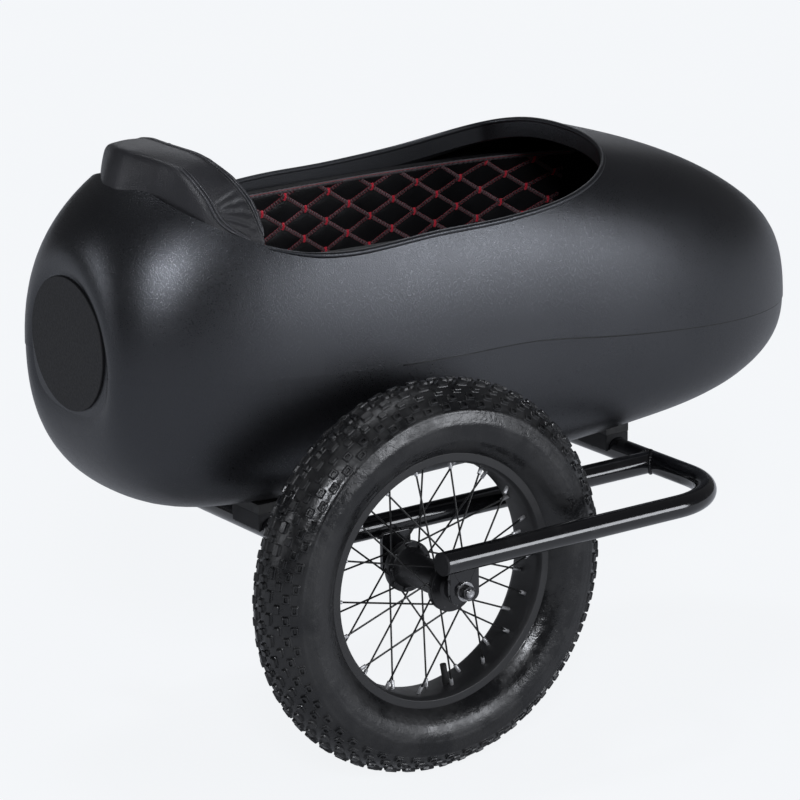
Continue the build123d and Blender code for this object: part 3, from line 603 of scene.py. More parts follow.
def stitch_quilt(name, surface_at, spans, origin, seed, slope=0.0):
    """Double rows of stitches along the quilting lines, the puckers between them, and crossing bars.

    The function finds a place and its normal from two lengths across the quilt; spans are their limits."""
    (a0, a1), (b0, b1) = spans
    rng = np.random.default_rng(seed)
    da, db = DIAMOND_LENGTH / DIAMOND_EDGE, DIAMOND_HEIGHT / DIAMOND_EDGE
    reach = int((a1 - a0) / DIAMOND_LENGTH) + int((b1 - b0) / DIAMOND_HEIGHT) + 3
    count = int(DIAMOND_EDGE * reach / STITCH_PITCH)
    stitches, puckers, bars = [], [], []

    def level(a, b):
        return b - slope * (a - origin[0])

    def at(a, b):
        return surface_at(a, level(a, b))

    def curve(into, a, b, ta, tb, length, form):
        """A short thread through a place, along a direction across the quilt, arched above it."""
        places = [at(a + ta * length * k, b + tb * length * k) for k in (-0.5, 0.0, 0.5)]
        if None in places:
            return
        lift, radius, sides = form
        heights = (lift * 0.25, lift, lift * 0.25)
        path = [hit + normal * h for (hit, normal), h in zip(places, heights)]
        into.append(tube_along(path, radius, sides))

    def inside(a, b, edge):
        return a0 + edge < a < a1 - edge and b0 + edge < level(a, b) < b1 - edge

    first = math.floor((a0 - origin[0]) / DIAMOND_LENGTH) - reach
    last = math.ceil((a1 - origin[0]) / DIAMOND_LENGTH) + reach
    for lean in (1, -1):
        for line in range(first, last + 1):
            for number in range(-count, count + 1):
                along = number * STITCH_PITCH
                a = origin[0] + line * DIAMOND_LENGTH + along * da
                b = origin[1] + lean * along * db
                if not inside(a, b, 2 * MM):
                    continue
                for side in (-1, 1):
                    pa = a - side * ROW_GAP / 2 * db * lean
                    pb = b + side * ROW_GAP / 2 * da
                    drift = rng.normal(0, 0.10 * MM)
                    if inside(pa, pb, 1 * MM):
                        curve(stitches, pa, pb + drift, da, lean * db, STITCH_PITCH * 0.78, THREAD)
                half = STITCH_PITCH / 2
                curve(puckers, a + half * da, b + half * lean * db, -db * lean, da, ROW_GAP * 0.9, PUCKER)
    for row in range(-reach * 2, reach * 2 + 1):
        b = origin[1] + row * DIAMOND_HEIGHT / 2
        for column in range(first, last + 1):
            a = origin[0] + (column + 0.5 * (row % 2)) * DIAMOND_LENGTH
            if not inside(a, b, BAR_LENGTH / 2):
                continue
            for side in (-1, 1):
                curve(bars, a + side * BAR_GAP, b, 0.0, 1.0, BAR_LENGTH, BAR)
    # The puckers' lighter pinkish colour is painted sheen.
    kinds = (("stitches_", stitches, RED_THREAD), ("puckers_", puckers, RIB_PAINTED_SHEEN), ("bars_", bars, RED_BAR))
    for kind, parts, material in kinds:
        if parts:
            add_parts(kind + name, parts, material, CHASSIS, 60)


# ---------------- quilted liners
LINER_ORIGIN = (283.8 * MM, 284.1 * MM)     # a crossing of the quilting lines: ahead of the origin, and up
QUILT_STEP = 2.6 * MM
HEM_HEIGHT = 6 * MM
EDGE_FADE = 6 * MM              # over which the padding thins towards a liner's other edges


class LinerSurface:
    """The inner face of one liner: a distance ahead and a height give a point and a normal."""

    def __init__(self, name):
        self.name = name
        self.tree = tree_of(nodes[name].data)
        self.low, self.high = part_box(name)
        self.side = 1 if (self.low.y + self.high.y) / 2 > POD_Y else -1

    def at(self, x, z):
        hit, normal, _, _ = self.tree.ray_cast(Vector((x, POD_Y, z)), Vector((0, self.side, 0)))
        if hit is None:
            return None
        if normal.y * self.side > 0:
            normal = -normal
        return hit, normal


def make_liner(name, seed):
    face = LinerSurface(name)
    x0, x1 = face.low.x + 2 * MM, face.high.x - 2 * MM
    z0, z1 = face.low.z + 2 * MM, face.high.z - 1 * MM
    columns = int((x1 - x0) / QUILT_STEP)
    rows = int((z1 - z0) / QUILT_STEP)
    points = []
    index = {}                  # a place's row and column, and its number
    for row in range(rows + 1):
        z = z0 + (z1 - z0) * row / rows
        for column in range(columns + 1):
            x = x0 + (x1 - x0) * column / columns
            found = face.at(x, z)
            if found is None:
                continue
            hit, normal = found
            edge = min(1.0, (z1 - z) / HEM_HEIGHT, (x - x0) / EDGE_FADE, (z - z0) / EDGE_FADE)
            index[(row, column)] = len(points)
            level = z + LINER_SLOPE * (x - LINER_ORIGIN[0])
            puff = PUFF * puff_at(x, level, LINER_ORIGIN) * edge
            points.append(hit + normal * (puff + 0.5 * MM * min(1.0, edge * 4) - 0.3 * MM))
    faces = []
    for row in range(rows):
        for column in range(columns):
            corner = [(row, column), (row, column + 1), (row + 1, column + 1), (row + 1, column)]
            if all(c in index for c in corner):
                faces.append([index[c] for c in corner])
    if face.side > 0:
        faces = flipped(faces)
    quilt = add_mesh("quilt_" + name, points, faces, QUILT, CHASSIS, 80)
    stitch_quilt(name, face.at, ((x0, x1), (z0, z1 - 2 * MM)), LINER_ORIGIN, seed, LINER_SLOPE)
    hem_liner(face, x0, x1, z1, seed + 1)


HEM_RING = 15                   # points round the hem's section
HEM_STITCH_PITCH = 3.2 * MM
HEM_STITCH_DROP = 1.2 * MM


def hem_section(base, normal, upper, pucker):
    """The hem's section at one place: up the liner's face, then over its top edge."""
    section = []
    for step in range(HEM_RING):
        share = step / (HEM_RING - 1)
        if share < 0.5:
            arch = math.sin(math.pi * share / 0.5)
            rise = (0.9 + 1.5 * arch ** 0.6) * MM
            section.append(base.lerp(upper, share / 0.5) + normal * (rise + 0.9 * MM * pucker * arch))
        else:
            turn = math.pi * (share - 0.5) / 0.5
            middle = upper - normal * (0.4 * MM)
            up = (0.9 + 0.35 * pucker) * MM * math.sin(turn)
            section.append(middle + normal * (1.4 * MM * math.cos(turn)) + Vector((0, 0, up)))
    return section


def hem_liner(face, x0, x1, z1, seed):
    """The turned-over top edge of a liner: a puckered roll with a row of fine stitches along it."""
    waves = np.random.default_rng(seed).uniform(0, 2 * math.pi, 3)
    columns = int((x1 - x0) / (1.3 * MM))
    points = []
    for column in range(columns + 1):
        x = x0 + (x1 - x0) * column / columns
        found = face.at(x, z1 - HEM_HEIGHT)
        top = face.at(x, z1 - 0.5 * MM)
        if found is None or top is None:
            continue
        pucker = math.sin(2 * math.pi * x / (7.4 * MM) + 1.5 * math.sin(x / (31 * MM) + waves[0]))
        pucker *= 0.6 + 0.4 * math.sin(x / (47 * MM) + waves[1])
        points.extend(hem_section(found[0], found[1], top[0], pucker))
    faces = grid_faces(len(points) // HEM_RING, HEM_RING)
    if face.side < 0:
        faces = flipped(faces)
    # The hem's lighter grey colour is painted sheen.
    add_mesh("hem_" + face.name, points, faces, HEM_PAINTED_SHEEN, CHASSIS, 80)
    stitches = []
    for number in range(1, int((x1 - x0) / HEM_STITCH_PITCH) - 1):
        x = x0 + number * HEM_STITCH_PITCH
        places = [face.at(x + k * HEM_STITCH_PITCH * 0.38, z1 - HEM_STITCH_DROP) for k in (-1, 0, 1)]
        if None in places:
            continue
        path = [hit + normal * (lift * MM) for (hit, normal), lift in zip(places, (1.7, 2.3, 1.7))]
        stitches.append(tube_along(path, 0.40 * MM, 5))
    add_parts("hem_stitches_" + face.name, stitches, RED_THREAD, CHASSIS, 60)


make_liner("liner_left", 101)
make_liner("liner_right", 201)


# ---------------- simulated soft forms
def welded_mesh(name):
    """A copy of a CAD node's mesh with its faces joined along their edges."""
    mesh = nodes[name].data.copy()
    work = bmesh.new()
    work.from_mesh(mesh)
    bmesh.ops.remove_doubles(work, verts=work.verts, dist=0.01 * MM)
    work.to_mesh(mesh)
    work.free()
    return mesh


def bake(obj):
    """Makes the piece's modified mesh its own."""
    graph = bpy.context.evaluated_depsgraph_get()
    mesh = bpy.data.meshes.new_from_object(obj.evaluated_get(graph))
    obj.modifiers.clear()
    obj.data = mesh


def read_vectors(items, key):
    flat = np.empty(len(items) * 3)
    items.foreach_get(key, flat)
    return flat.reshape(-1, 3)


def mesh_points(mesh):
    return read_vectors(mesh.vertices, "co")


def mesh_normals(mesh):
    return read_vectors(mesh.vertex_normals, "vector")


def set_points(mesh, points):
    mesh.vertices.foreach_set("co", np.asarray(points, dtype=np.float64).reshape(-1))
    mesh.update()


def remeshed(node, voxel, smooth):
    """An even mesh of a CAD soft solid."""
    obj = bpy.data.objects.new("remeshed_" + node, welded_mesh(node))
    bpy.context.scene.collection.objects.link(obj)
    remesh = obj.modifiers.new("remesh", "REMESH")
    remesh.mode = "VOXEL"
    remesh.voxel_size = voxel
    relax = obj.modifiers.new("relax", "SMOOTH")
    relax.factor = 0.5
    relax.iterations = smooth
    bake(obj)
    mesh = obj.data
    bpy.data.objects.remove(obj)
    return mesh


CLOTH_STEPS = 20
CLOTH_SETTINGS = {
    "quality": 4, "mass": 0.3, "tension_stiffness": 12, "compression_stiffness": 12,
    "shear_stiffness": 5, "bending_stiffness": 0.6, "vertex_group_mass": "held",
    "use_pressure": True, "uniform_pressure_force": 4,
}


def swollen(name, node, mesh, material, shrink, cap, pinned):
    """A stuffed form: its mesh is drawn in, blown up as cloth by the cap at most, and held where pinned."""
    obj = bpy.data.objects.new(name, mesh)
    bpy.context.scene.collection.objects.link(obj)
    start = mesh_points(mesh)
    held = np.array([pinned(Vector(p)) for p in start])
    drawn = start - mesh_normals(mesh) * shrink * (1.0 - held)[:, None]
    set_points(mesh, drawn)
    group = obj.vertex_groups.new(name="held")
    for i in np.nonzero(held > 0.5)[0]:
        group.add([int(i)], 1.0, "REPLACE")
    cloth = obj.modifiers.new("cloth", "CLOTH")
    for setting, value in CLOTH_SETTINGS.items():
        setattr(cloth.settings, setting, value)
    cloth.settings.effector_weights.gravity = 0
    cloth.collision_settings.use_collision = False
    cloth.point_cache.frame_start = 1
    cloth.point_cache.frame_end = CLOTH_STEPS
    for step in range(1, CLOTH_STEPS + 1):
        bpy.context.scene.frame_set(step)
    graph = bpy.context.evaluated_depsgraph_get()
    blown = mesh_points(obj.evaluated_get(graph).data)
    bpy.context.scene.frame_set(1)
    obj.modifiers.clear()
    move = blown - drawn
    far = np.linalg.norm(move, axis=1)
    drawn = drawn + move * np.minimum(1.0, cap / np.maximum(far, 1e-9))[:, None]
    set_points(mesh, drawn)
    obj.vertex_groups.clear()
    finer = obj.modifiers.new("finer", "SUBSURF")
    finer.levels = 1
    finer.render_levels = 1
    bake(obj)
    obj.data.materials.clear()
    obj.data.materials.append(material)
    obj.data.shade_smooth()
    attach(obj, CHASSIS)
    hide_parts(node)
    return obj


# ---------------- headrest pad
deck = tree_of(nodes["pod_upper"].data)
pad_solid = tree_of(nodes["headrest_pad"].data)
pad_low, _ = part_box("headrest_pad")

# Knots of the pad's edges, from its middle to its near end: millimetres ahead of the origin,
# out from the pad's middle, and up. The far half mirrors them.
PAD_Y = POD_Y - 6 * MM                  # the pad is strapped on a little towards the wheel
PAD_FOOT = ((-142, 0, 428), (-140, 20, 427), (-122, 53, 425), (-104, 85, 413),
            (-87, 111, 397), (-75, 125, 385), (-51, 142, 371), (-20, 153, 363))
PAD_SHOULDER = ((-124, 0, 469.5), (-121, 20, 468.5), (-108, 53, 463), (-95, 85, 452),
                (-81, 110, 422), (-71, 124, 392), (-49, 140, 375), (-21, 151, 366))
PAD_FRONT = ((-53, 0, 465), (-50, 22, 464), (-45, 55, 461.5), (-42, 85, 454.5),
             (-32, 108, 440), (-19, 125, 415), (-17, 139, 391), (-18, 150, 367))
ROWS_BETWEEN = 9                        # rows of the mesh from one knot to the next
SIDE_COUNTS = (12, 18, 10, 14)          # points up the rear, over the top, down the front and under
SIDE_BULGES = (1.5, 2.4, 3.0, 0.0)      # millimetres


def pad_edge(knots):
    """Places along one edge of the pad from its far end to its near one."""
    near = [Vector((x * MM, PAD_Y - out * MM, z * MM)) for x, out, z in knots]
    far = [Vector((x * MM, PAD_Y + out * MM, z * MM)) for x, out, z in knots[:0:-1]]
    return smooth_curve(far + near, (2 * len(knots) - 2) * ROWS_BETWEEN + 1)


TOE_REACH = (6 * MM, 45 * MM)           # the least and the most that the front edge reaches down


def pad_section(foot, shoulder, front):
    """One closed section of the pad, rounded at its shoulder and its front edge."""
    hit = deck.ray_cast(foot + Vector((0, 0, 0.05)), DOWN)[0]
    if hit is not None and abs(hit.z - foot.z) < 12 * MM:
        foot = Vector((foot.x, foot.y, hit.z - 2 * MM))
    else:
        foot = foot - Vector((0, 0, 9 * MM))
    below = Vector((front.x - 8 * MM, front.y, pad_low.z - 0.05))
    under = pad_solid.ray_cast(below, -DOWN)[0]
    depth = front.z - under.z if under is not None else 25 * MM
    toe = front - Vector((3 * MM, 0, min(max(depth, TOE_REACH[0]), TOE_REACH[1])))
    corners = (foot, shoulder, front, toe)
    middle = sum(corners, Vector()) / 4
    ring = []
    for number, (count, bulge) in enumerate(zip(SIDE_COUNTS, SIDE_BULGES)):
        start, end = corners[number], corners[(number + 1) % 4]
        side = end - start
        out = (start + end) / 2 - middle
        out = (out - side * out.dot(side) / max(side.length_squared, 1e-9)).normalized()
        rise = min(bulge * MM, side.length * 0.10)
        for step in range(count):
            share = step / count
            ring.append(start + side * share + out * rise * math.sin(math.pi * share))
    fixed = (0, sum(SIDE_COUNTS[:3]))
    for _ in range(3):
        ring = [p if k in fixed else (ring[k - 1] + p * 2 + ring[(k + 1) % len(ring)]) / 4
                for k, p in enumerate(ring)]
    return ring


def pressed(mesh, lines, width, depth):
    """Presses creases into a mesh along lines of places."""
    points = mesh_points(mesh)
    normals = mesh_normals(mesh)
    for line in lines:
        places = np.array([tuple(p) for p in line])
        nearest = np.full(len(points), 1.0)
        share = np.zeros(len(points))
        for k, (a, b) in enumerate(zip(places, places[1:])):
            along = b - a
            t = np.clip((points - a) @ along / (along @ along), 0, 1)
            gap = np.linalg.norm(points - a - t[:, None] * along, axis=1)
            closer = gap < nearest
            nearest[closer] = gap[closer]
            share[closer] = (k + t[closer]) / (len(places) - 1)
        dent = np.exp(-(nearest / width) ** 2) - 0.35 * np.exp(-((nearest - 2.2 * width) / width) ** 2)
        points -= normals * (dent * depth * np.sin(np.pi * np.clip(share, 0.04, 0.96)) ** 0.5)[:, None]
    set_points(mesh, points)


# Creases on the pad's top, each from a knot to a knot and as far as this share of the way to the front.
PAD_CREASES = ((4.5, 4.45, 0.85), (4.62, 5.0, 0.92), (4.7, 5.6, 0.85), (4.8, 6.3, 0.7))
CREASE_START = 0.06


def make_headrest():
    foot, shoulder, front = (pad_edge(knots) for knots in (PAD_FOOT, PAD_SHOULDER, PAD_FRONT))
    sections = [pad_section(*places) for places in zip(foot, shoulder, front)]
    size = sum(SIDE_COUNTS)
    points = [p for section in sections for p in section]
    faces = grid_faces(len(sections), size, False, True)
    for row, turned in ((0, False), (len(sections) - 1, True)):
        points.append(sum(sections[row], Vector()) / size)
        for k in range(size):
            face = (row * size + (k + 1) % size, row * size + k, len(points) - 1)
            faces.append(face[::-1] if turned else face)
    mesh = bpy.data.meshes.new("headrest_cushion")
    mesh.from_pydata([tuple(p) for p in points], [], flipped(faces))
    mesh.validate()
    toes = sum(SIDE_COUNTS[:3])
    feet = [section[k] for section in sections for k in (0, toes)]
    strip = [(2 * row, 2 * row + 1, 2 * row + 3, 2 * row + 2) for row in range(len(sections) - 1)]
    held = BVHTree.FromPolygons(feet, strip)

    def pinned(place):
        return 1.0 if held.find_nearest(place)[3] < 3.0 * MM else 0.0

    pad = swollen("headrest_cushion", "headrest_pad", mesh, LEATHER, 0.8 * MM, 3 * MM, pinned)
    tree = tree_of(pad.data)

    def on_pad(place):
        return tree.find_nearest(place)[:2]

    middle = (len(sections) - 1) // 2
    last = len(sections) - 1
    creases = []
    for turn in (-1, 1):
        for start, end, reach in PAD_CREASES:
            line = []
            for k in range(9):
                share = k / 8
                row = middle + turn * (start + (end - start) * share ** 1.3) * ROWS_BETWEEN
                row = int(min(max(row, 0), last))
                across = CREASE_START + (reach - CREASE_START) * share
                line.append(on_pad(shoulder[row].lerp(front[row], across))[0])
            creases.append(line)
    pressed(pad.data, creases, 2.3 * MM, 0.9 * MM)
    tree = tree_of(pad.data)
    shoulder_rows = int(2.9 * ROWS_BETWEEN)
    seams = (
        (range(middle + shoulder_rows, last - 4), 0.10),        # over the near shoulder
        (range(4, middle - shoulder_rows), 0.10),               # over the far shoulder
        (range(3, last - 2), 0.97),                             # along the front
    )
    tubes, stitches = [], []
    for rows, across in seams:
        inwards = 1 if across < 0.5 else -1
        for offset, radius in ((0.0, 1.9 * MM), (0.075, 1.3 * MM)):
            path, ups = [], []
            for row in rows:
                spot = shoulder[row].lerp(front[row], across + inwards * offset)
                place, normal = on_pad(spot)
                path.append(place + normal * 0.3 * MM)
                ups.append(normal)
            ends = [min(k, len(path) - 1 - k) for k in range(len(path))]
            taper = [radius * min(1.0, 0.35 + 0.2 * end) for end in ends]
            tubes.append(tube_along(path, taper, 10, up=ups))
        for k in range(1, len(path) - 1):
            step = (path[k + 1] - path[k - 1]).normalized() * 1.2 * MM
            aside = ups[k].cross(step).normalized() * 3.4 * MM * inwards
            place, normal = on_pad(path[k] + aside)
            stitch = [place - step, place + normal * 0.5 * MM, place + step]
            stitches.append(tube_along(stitch, 0.40 * MM, 5))
    add_parts("pad_piping", tubes, PIPING, CHASSIS, 60)
    add_parts("pad_stitches", stitches, BLACK_THREAD, CHASSIS, 60)


make_headrest()


# ---------------- seat
def quilt_mesh(mesh, out, across, origin, limits):
    """Presses the quilting lines into the side of a stuffed form that faces along an axis."""
    points = mesh_points(mesh)
    normals = mesh_normals(mesh)
    facing = np.clip((normals[:, out] - 0.55) / 0.3, 0, 1)
    for i in np.nonzero(facing > 0)[0]:
        a, b = points[i][across]
        gaps = [min(v - low, high - v) for v, (low, high) in zip((a, b), limits)]
        edge = min(1.0, max(0.0, min(gaps) / (16 * MM)))
        points[i] -= normals[i] * (PUFF * (1.0 - puff_at(a, b, origin)) * facing[i] * edge)
    set_points(mesh, points)


def make_seat_part(name, node, out, cap, seed):
    """A stuffed part of the seat, quilted on the side that faces along the axis numbered out."""
    low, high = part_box(node)

    def pinned(place):
        return 1.0 if place[out] < low[out] + 4 * MM else 0.0

    pad = swollen(name, node, remeshed(node, 6 * MM, 6), QUILT, 3 * MM, cap, pinned)
    across = [axis for axis in range(3) if axis != out]
    origin = [POD_Y if axis == 1 else (low[axis] + high[axis]) / 2 for axis in across]
    limits = [(low[axis] + 12 * MM, high[axis] - (12 if axis == 1 else 10) * MM) for axis in across]
    quilt_mesh(pad.data, out, across, origin, limits)
    tree = tree_of(pad.data)
    inwards = Vector([-1 if axis == out else 0 for axis in range(3)])

    def on_part(a, b):
        start = Vector((high[out] + 0.05,) * 3)
        start[across[0]] = a
        start[across[1]] = b
        hit, normal = tree.ray_cast(start, inwards)[:2]
        return (hit, normal) if hit is not None and normal[out] > 0.6 else None

    inset = [(a + 8 * MM, b - 8 * MM) for a, b in limits]
    stitch_quilt(name, on_part, inset, origin, seed)


make_seat_part("seat_pad", "seat_cushion", 2, 8 * MM, 301)
make_seat_part("back_pad", "seat_back", 0, 7 * MM, 401)


# ---------------- coaming
COAMING_RADIUS = 3.6 * MM
COAMING_RISE = 0.9 * MM         # how far the rolled edge stands proud of the moulding
COAMING_REAR = -25 * MM         # how far back the roll goes, from the origin
OPENING_REACH = (60 * MM, 500 * MM)     # from the opening's middle to where its edge is looked for
SEARCH_STEP = 4 * MM


def opening_edge(steps):
    """Places along the opening's upper edge, each with the way out from the opening's middle."""
    seat_low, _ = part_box("seat_back")
    _, liner_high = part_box("liner_left")
    middle = Vector(((seat_low.x + liner_high.x) / 2, POD_Y, 0))
    above = pod_high.z + 50 * MM
    found = []
    for turn in turns(steps):
        out = Vector((2 * math.cos(turn), math.sin(turn), 0)).normalized()

        def deck_below(reach):
            spot = middle + out * reach
            return deck.ray_cast(Vector((spot.x, spot.y, above)), DOWN)[0]

        high = OPENING_REACH[0]
        while deck_below(high) is None and high < OPENING_REACH[1]:
            high += SEARCH_STEP
        low = high - SEARCH_STEP
        for _ in range(12):
            reach = (low + high) / 2
            if deck_below(reach) is None:
                low = reach
            else:
                high = reach
        hit = deck_below(high + 0.2 * MM)
        if hit is not None:
            found.append((hit, out))
    return found


def make_coaming():
    """The rolled edge of the opening, from one end of the pad round the front to the other."""
    sink = COAMING_RADIUS - COAMING_RISE
    edge = opening_edge(320)
    start = next(i for i in range(len(edge)) if edge[i - 1][0].x < COAMING_REAR <= edge[i][0].x)
    edge = [e for e in edge[start:] + edge[:start] if e[0].x >= COAMING_REAR]
    line = np.array([tuple(hit) for hit, _ in edge])
    for _ in range(10):
        line[1:-1] = (line[:-2] + 2 * line[1:-1] + line[2:]) / 4
    places = [Vector(p) for p in line]
    path = []
    for i, place in enumerate(places):
        along = (places[min(i + 1, len(places) - 1)] - places[max(i - 1, 0)]).normalized()
        out = Vector((along.y, -along.x, 0)).normalized()
        out = out if out.dot(edge[i][1]) > 0 else -out
        path.append(place + out * sink - Vector((0, 0, sink)))
    ends = [min(i, len(path) - 1 - i) for i in range(len(path))]
    taper = [COAMING_RADIUS * min(1.0, 0.2 + 0.1 * end) for end in ends]
    points, faces = tube_along(path, taper, 14)
    add_mesh("coaming_roll", points, faces, POD, CHASSIS, 60)


make_coaming()


# ---------------- pod seam
def seam_place(origin, inwards, low, high):
    """Where a level ray from outside meets the upper moulding just over its lower edge."""
    for _ in range(18):
        middle = (low + high) / 2
        if deck.ray_cast(origin + Vector((0, 0, middle)), inwards)[0] is None:
            low = middle
        else:
            high = middle
    return deck.ray_cast(origin + Vector((0, 0, high + 0.5 * MM)), inwards)[0]


def make_seam():
    """A thin black gasket in the step between the two mouldings."""
    middle_x = (pod_low.x + pod_high.x) / 2
    half = (pod_high.x - pod_low.x) / 2
    path = []
    for turn in turns(360):
        target = Vector((middle_x + half * 0.80 * math.cos(turn), POD_Y, 0))
        inwards = -Vector((math.cos(turn) * abs(math.cos(turn)) ** 3, math.sin(turn), 0)).normalized()
        hit = seam_place(target - inwards * 0.6, inwards, pod_low.z - 5 * MM, pod_low.z + 110 * MM)
        if hit is not None:
            path.append(hit + inwards * 1.3 * MM - Vector((0, 0, 1.1 * MM)))
    points, faces = tube_along(path, 1.0 * MM, 6, closed=True)
    add_mesh("seam_gasket", points, faces, RUBBER, CHASSIS, 60)


make_seam()


# ---------------- welds
RIPPLE = 3.0 * MM
BEAD_STEP = 0.75 * MM


def resampled(path, step, closed):
    """Evenly spaced points along a path."""
    places = [Vector(p) for p in path]
    if closed:
        places.append(places[0])
    lengths = [0.0]
    for a, b in zip(places, places[1:]):
        lengths.append(lengths[-1] + (b - a).length)
    count = max(4, int(lengths[-1] / step))
    found = []
    spot = 0
    for k in range(count if closed else count + 1):
        target = lengths[-1] * k / count
        while spot + 2 < len(lengths) and lengths[spot + 1] < target:
            spot += 1
        span = max(lengths[spot + 1] - lengths[spot], 1e-9)
        found.append(places[spot].lerp(places[spot + 1], (target - lengths[spot]) / span))
    return found


def bead(path, radius, closed, rng):
    """A weld bead: overlapping ripples of uneven width along a path."""
    places = resampled(path, BEAD_STEP, closed)
    sway = rng.normal(0, 1, len(places))
    sway = np.convolve(sway, np.ones(7) / 7, mode="same")
    radii = []
    for i in range(len(places)):
        ripple = abs(math.sin(math.pi * i * BEAD_STEP / RIPPLE))
        radii.append(radius * (0.80 + 0.20 * ripple) * (1 + 0.22 * sway[i]))
    return tube_along(places, radii, 8, closed=closed)


def cope_path(x, y, sign):
    """Where a rail along X meets a cross tube along Y of the same size."""
    path = []
    for turn in turns(96):
        aside = TUBE_RADIUS * math.cos(turn)
        path.append((x + sign * abs(aside), y + aside, TUBE_RADIUS * math.sin(turn)))
    return path


def eye_path(x, eye_radius):
    """Where a cross tube meets its coupling eye."""
    path = []
    for turn in turns(96):
        z = TUBE_RADIUS * math.sin(turn)
        path.append((x + TUBE_RADIUS * math.cos(turn), -math.sqrt(eye_radius ** 2 - z ** 2), z))
    return path


def middle_of(name, axis):
    low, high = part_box(name)
    return (low[axis] + high[axis]) / 2


def make_welds():
    rng = np.random.default_rng(7)
    parts = []

    def straight(start, end, radius):
        parts.append(bead([start, end], radius, False, rng))

    eye_low, eye_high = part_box("coupling_eye_rear")
    eye_radius = (eye_high.z - eye_low.z) / 2
    rear_x = middle_of("coupling_eye_rear", 0)
    front_x = middle_of("coupling_eye_front", 0)
    for rail in ("inner_rail", "bike_side_rail"):
        for x, sign in ((rear_x, 1), (front_x, -1)):
            parts.append(bead(cope_path(x, middle_of(rail, 1), sign), 2.5 * MM, True, rng))
    for x in (rear_x, front_x):
        parts.append(bead(eye_path(x, eye_radius), 2.4 * MM, True, rng))
    outer_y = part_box("main_tube")[0].y + TUBE_RADIUS
    for name, rail_y in (("dropout_outer", outer_y), ("dropout_inner", middle_of("inner_rail", 1))):
        low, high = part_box(name)
        near, far = (high.y, low.y) if abs(high.y - AXLE.y) < abs(low.y - AXLE.y) else (low.y, high.y)
        drop = math.sqrt(max(0.0, TUBE_RADIUS ** 2 - (far - rail_y) ** 2))
        under = -drop - 0.4 * MM
        straight((low.x - 3 * MM, far, under), (high.x + 3 * MM, far, under), 3.0 * MM)
        inside = rail_y + math.copysign(math.sqrt(TUBE_RADIUS ** 2 - high.z ** 2), AXLE.y - rail_y)
        over = high.z + 0.6 * MM
        straight((low.x, inside, over), (high.x, inside, over), 2.6 * MM)
        for end_x in (low.x, high.x):
            straight((end_x, far, -drop - 0.5 * MM), (end_x, near, high.z), 2.2 * MM)
    saddle_low, saddle_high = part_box("pod_saddles")
    for x in (rear_x, front_x):
        for start_y in (saddle_low.y, saddle_high.y - 60 * MM):
            for side in (-1, 1):
                beside = x + side * (TUBE_RADIUS + 0.6 * MM)
                start = (beside, start_y + 3 * MM, -0.6 * MM)
                straight(start, (beside, start_y + 57 * MM, -0.6 * MM), 2.0 * MM)
    add_parts("weld_beads", parts, BEAD, CHASSIS, 70)


make_welds()


# ---------------- axle ends
BORE_RADIUS = 5.2 * MM
THREAD_RADIUS = 4.72 * MM
THREAD_DEPTH = 0.55 * MM
THREAD_PITCH = 1.0 * MM
THREAD_ROWS, THREAD_COLUMNS = 27, 32


def around_axle(distance, side):
    """Turns (radius, angle, height above a face) into places at one end of the axle."""
    def place(radius, angle, height):
        return about_axle(radius, angle, side * (distance + height))
    return place


def make_nut(place, flats, height):
    """A hexagon nut with both faces chamfered."""
    steps = 72
    rings = [[] for _ in range(6)]      # from the foot over the top and into the bore
    for angle in turns(steps):
        wedge = (angle + math.radians(30)) % math.radians(60) - math.radians(30)
        hexagon = flats / 2 / math.cos(wedge)
        cut = max(0.0, hexagon - flats * 0.485) * math.tan(math.radians(32))
        face = min(hexagon, flats * 0.485)
        spots = ((face, 0.0), (hexagon, cut), (hexagon, height - cut), (face, height),
                 (BORE_RADIUS, height - 0.2 * MM), (BORE_RADIUS, height - 1.5 * MM))
        for ring, (radius, level) in zip(rings, spots):
            ring.append(place(radius, angle, level))
    return [p for ring in rings for p in ring], grid_faces(len(rings), steps, False, True)


def make_thread(place, length, side):
    """The axle's threaded end, chamfered, with the centre's dimple in its face."""
    rows, columns = THREAD_ROWS, THREAD_COLUMNS
    points = []
    for row in range(rows):
        share = row / (rows - 1)
        for column, angle in enumerate(turns(columns)):
            turn = (share * length / THREAD_PITCH - side * column / columns) % 1.0
            radius = THREAD_RADIUS + THREAD_DEPTH * (1 - abs(2 * turn - 1))
            radius -= max(0.0, share - 0.86) * 6 * MM
            points.append(place(radius, angle, share * length))
    points.extend(place(1.6 * MM, angle, length + 0.05 * MM) for angle in turns(columns))
    points.append(place(0, 0, length - 0.9 * MM))
    faces = grid_faces(rows + 1, columns, False, True)
    start = rows * columns
    faces += [(start + a, start + (a + 1) % columns, len(points) - 1) for a in range(columns)]
    return points, faces


def make_axle_ends():
    axle_half, outside, seat = ((high.y - low.y) / 2 for low, high in
                                map(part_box, ("axle", "axle_nuts", "axle_washers")))
    nut_low, nut_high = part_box("axle_nuts")
    start = outside - 2 * MM
    parts, threads = [], []
    for side in (-1, 1):
        nut = make_nut(around_axle(seat, side), nut_high.z - nut_low.z, outside - seat)
        thread = make_thread(around_axle(start, side), axle_half - start, side)
        for form, group in ((nut, parts), (thread, threads)):
            points, faces = form
            group.append((points, faces if side < 0 else flipped(faces)))
    nuts = add_parts("hex_nuts", parts, ZINC_DARK, CHASSIS, 28)
    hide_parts("axle_nuts")
    add_parts("axle_threads", threads, ZINC, CHASSIS, 50)


make_axle_ends()


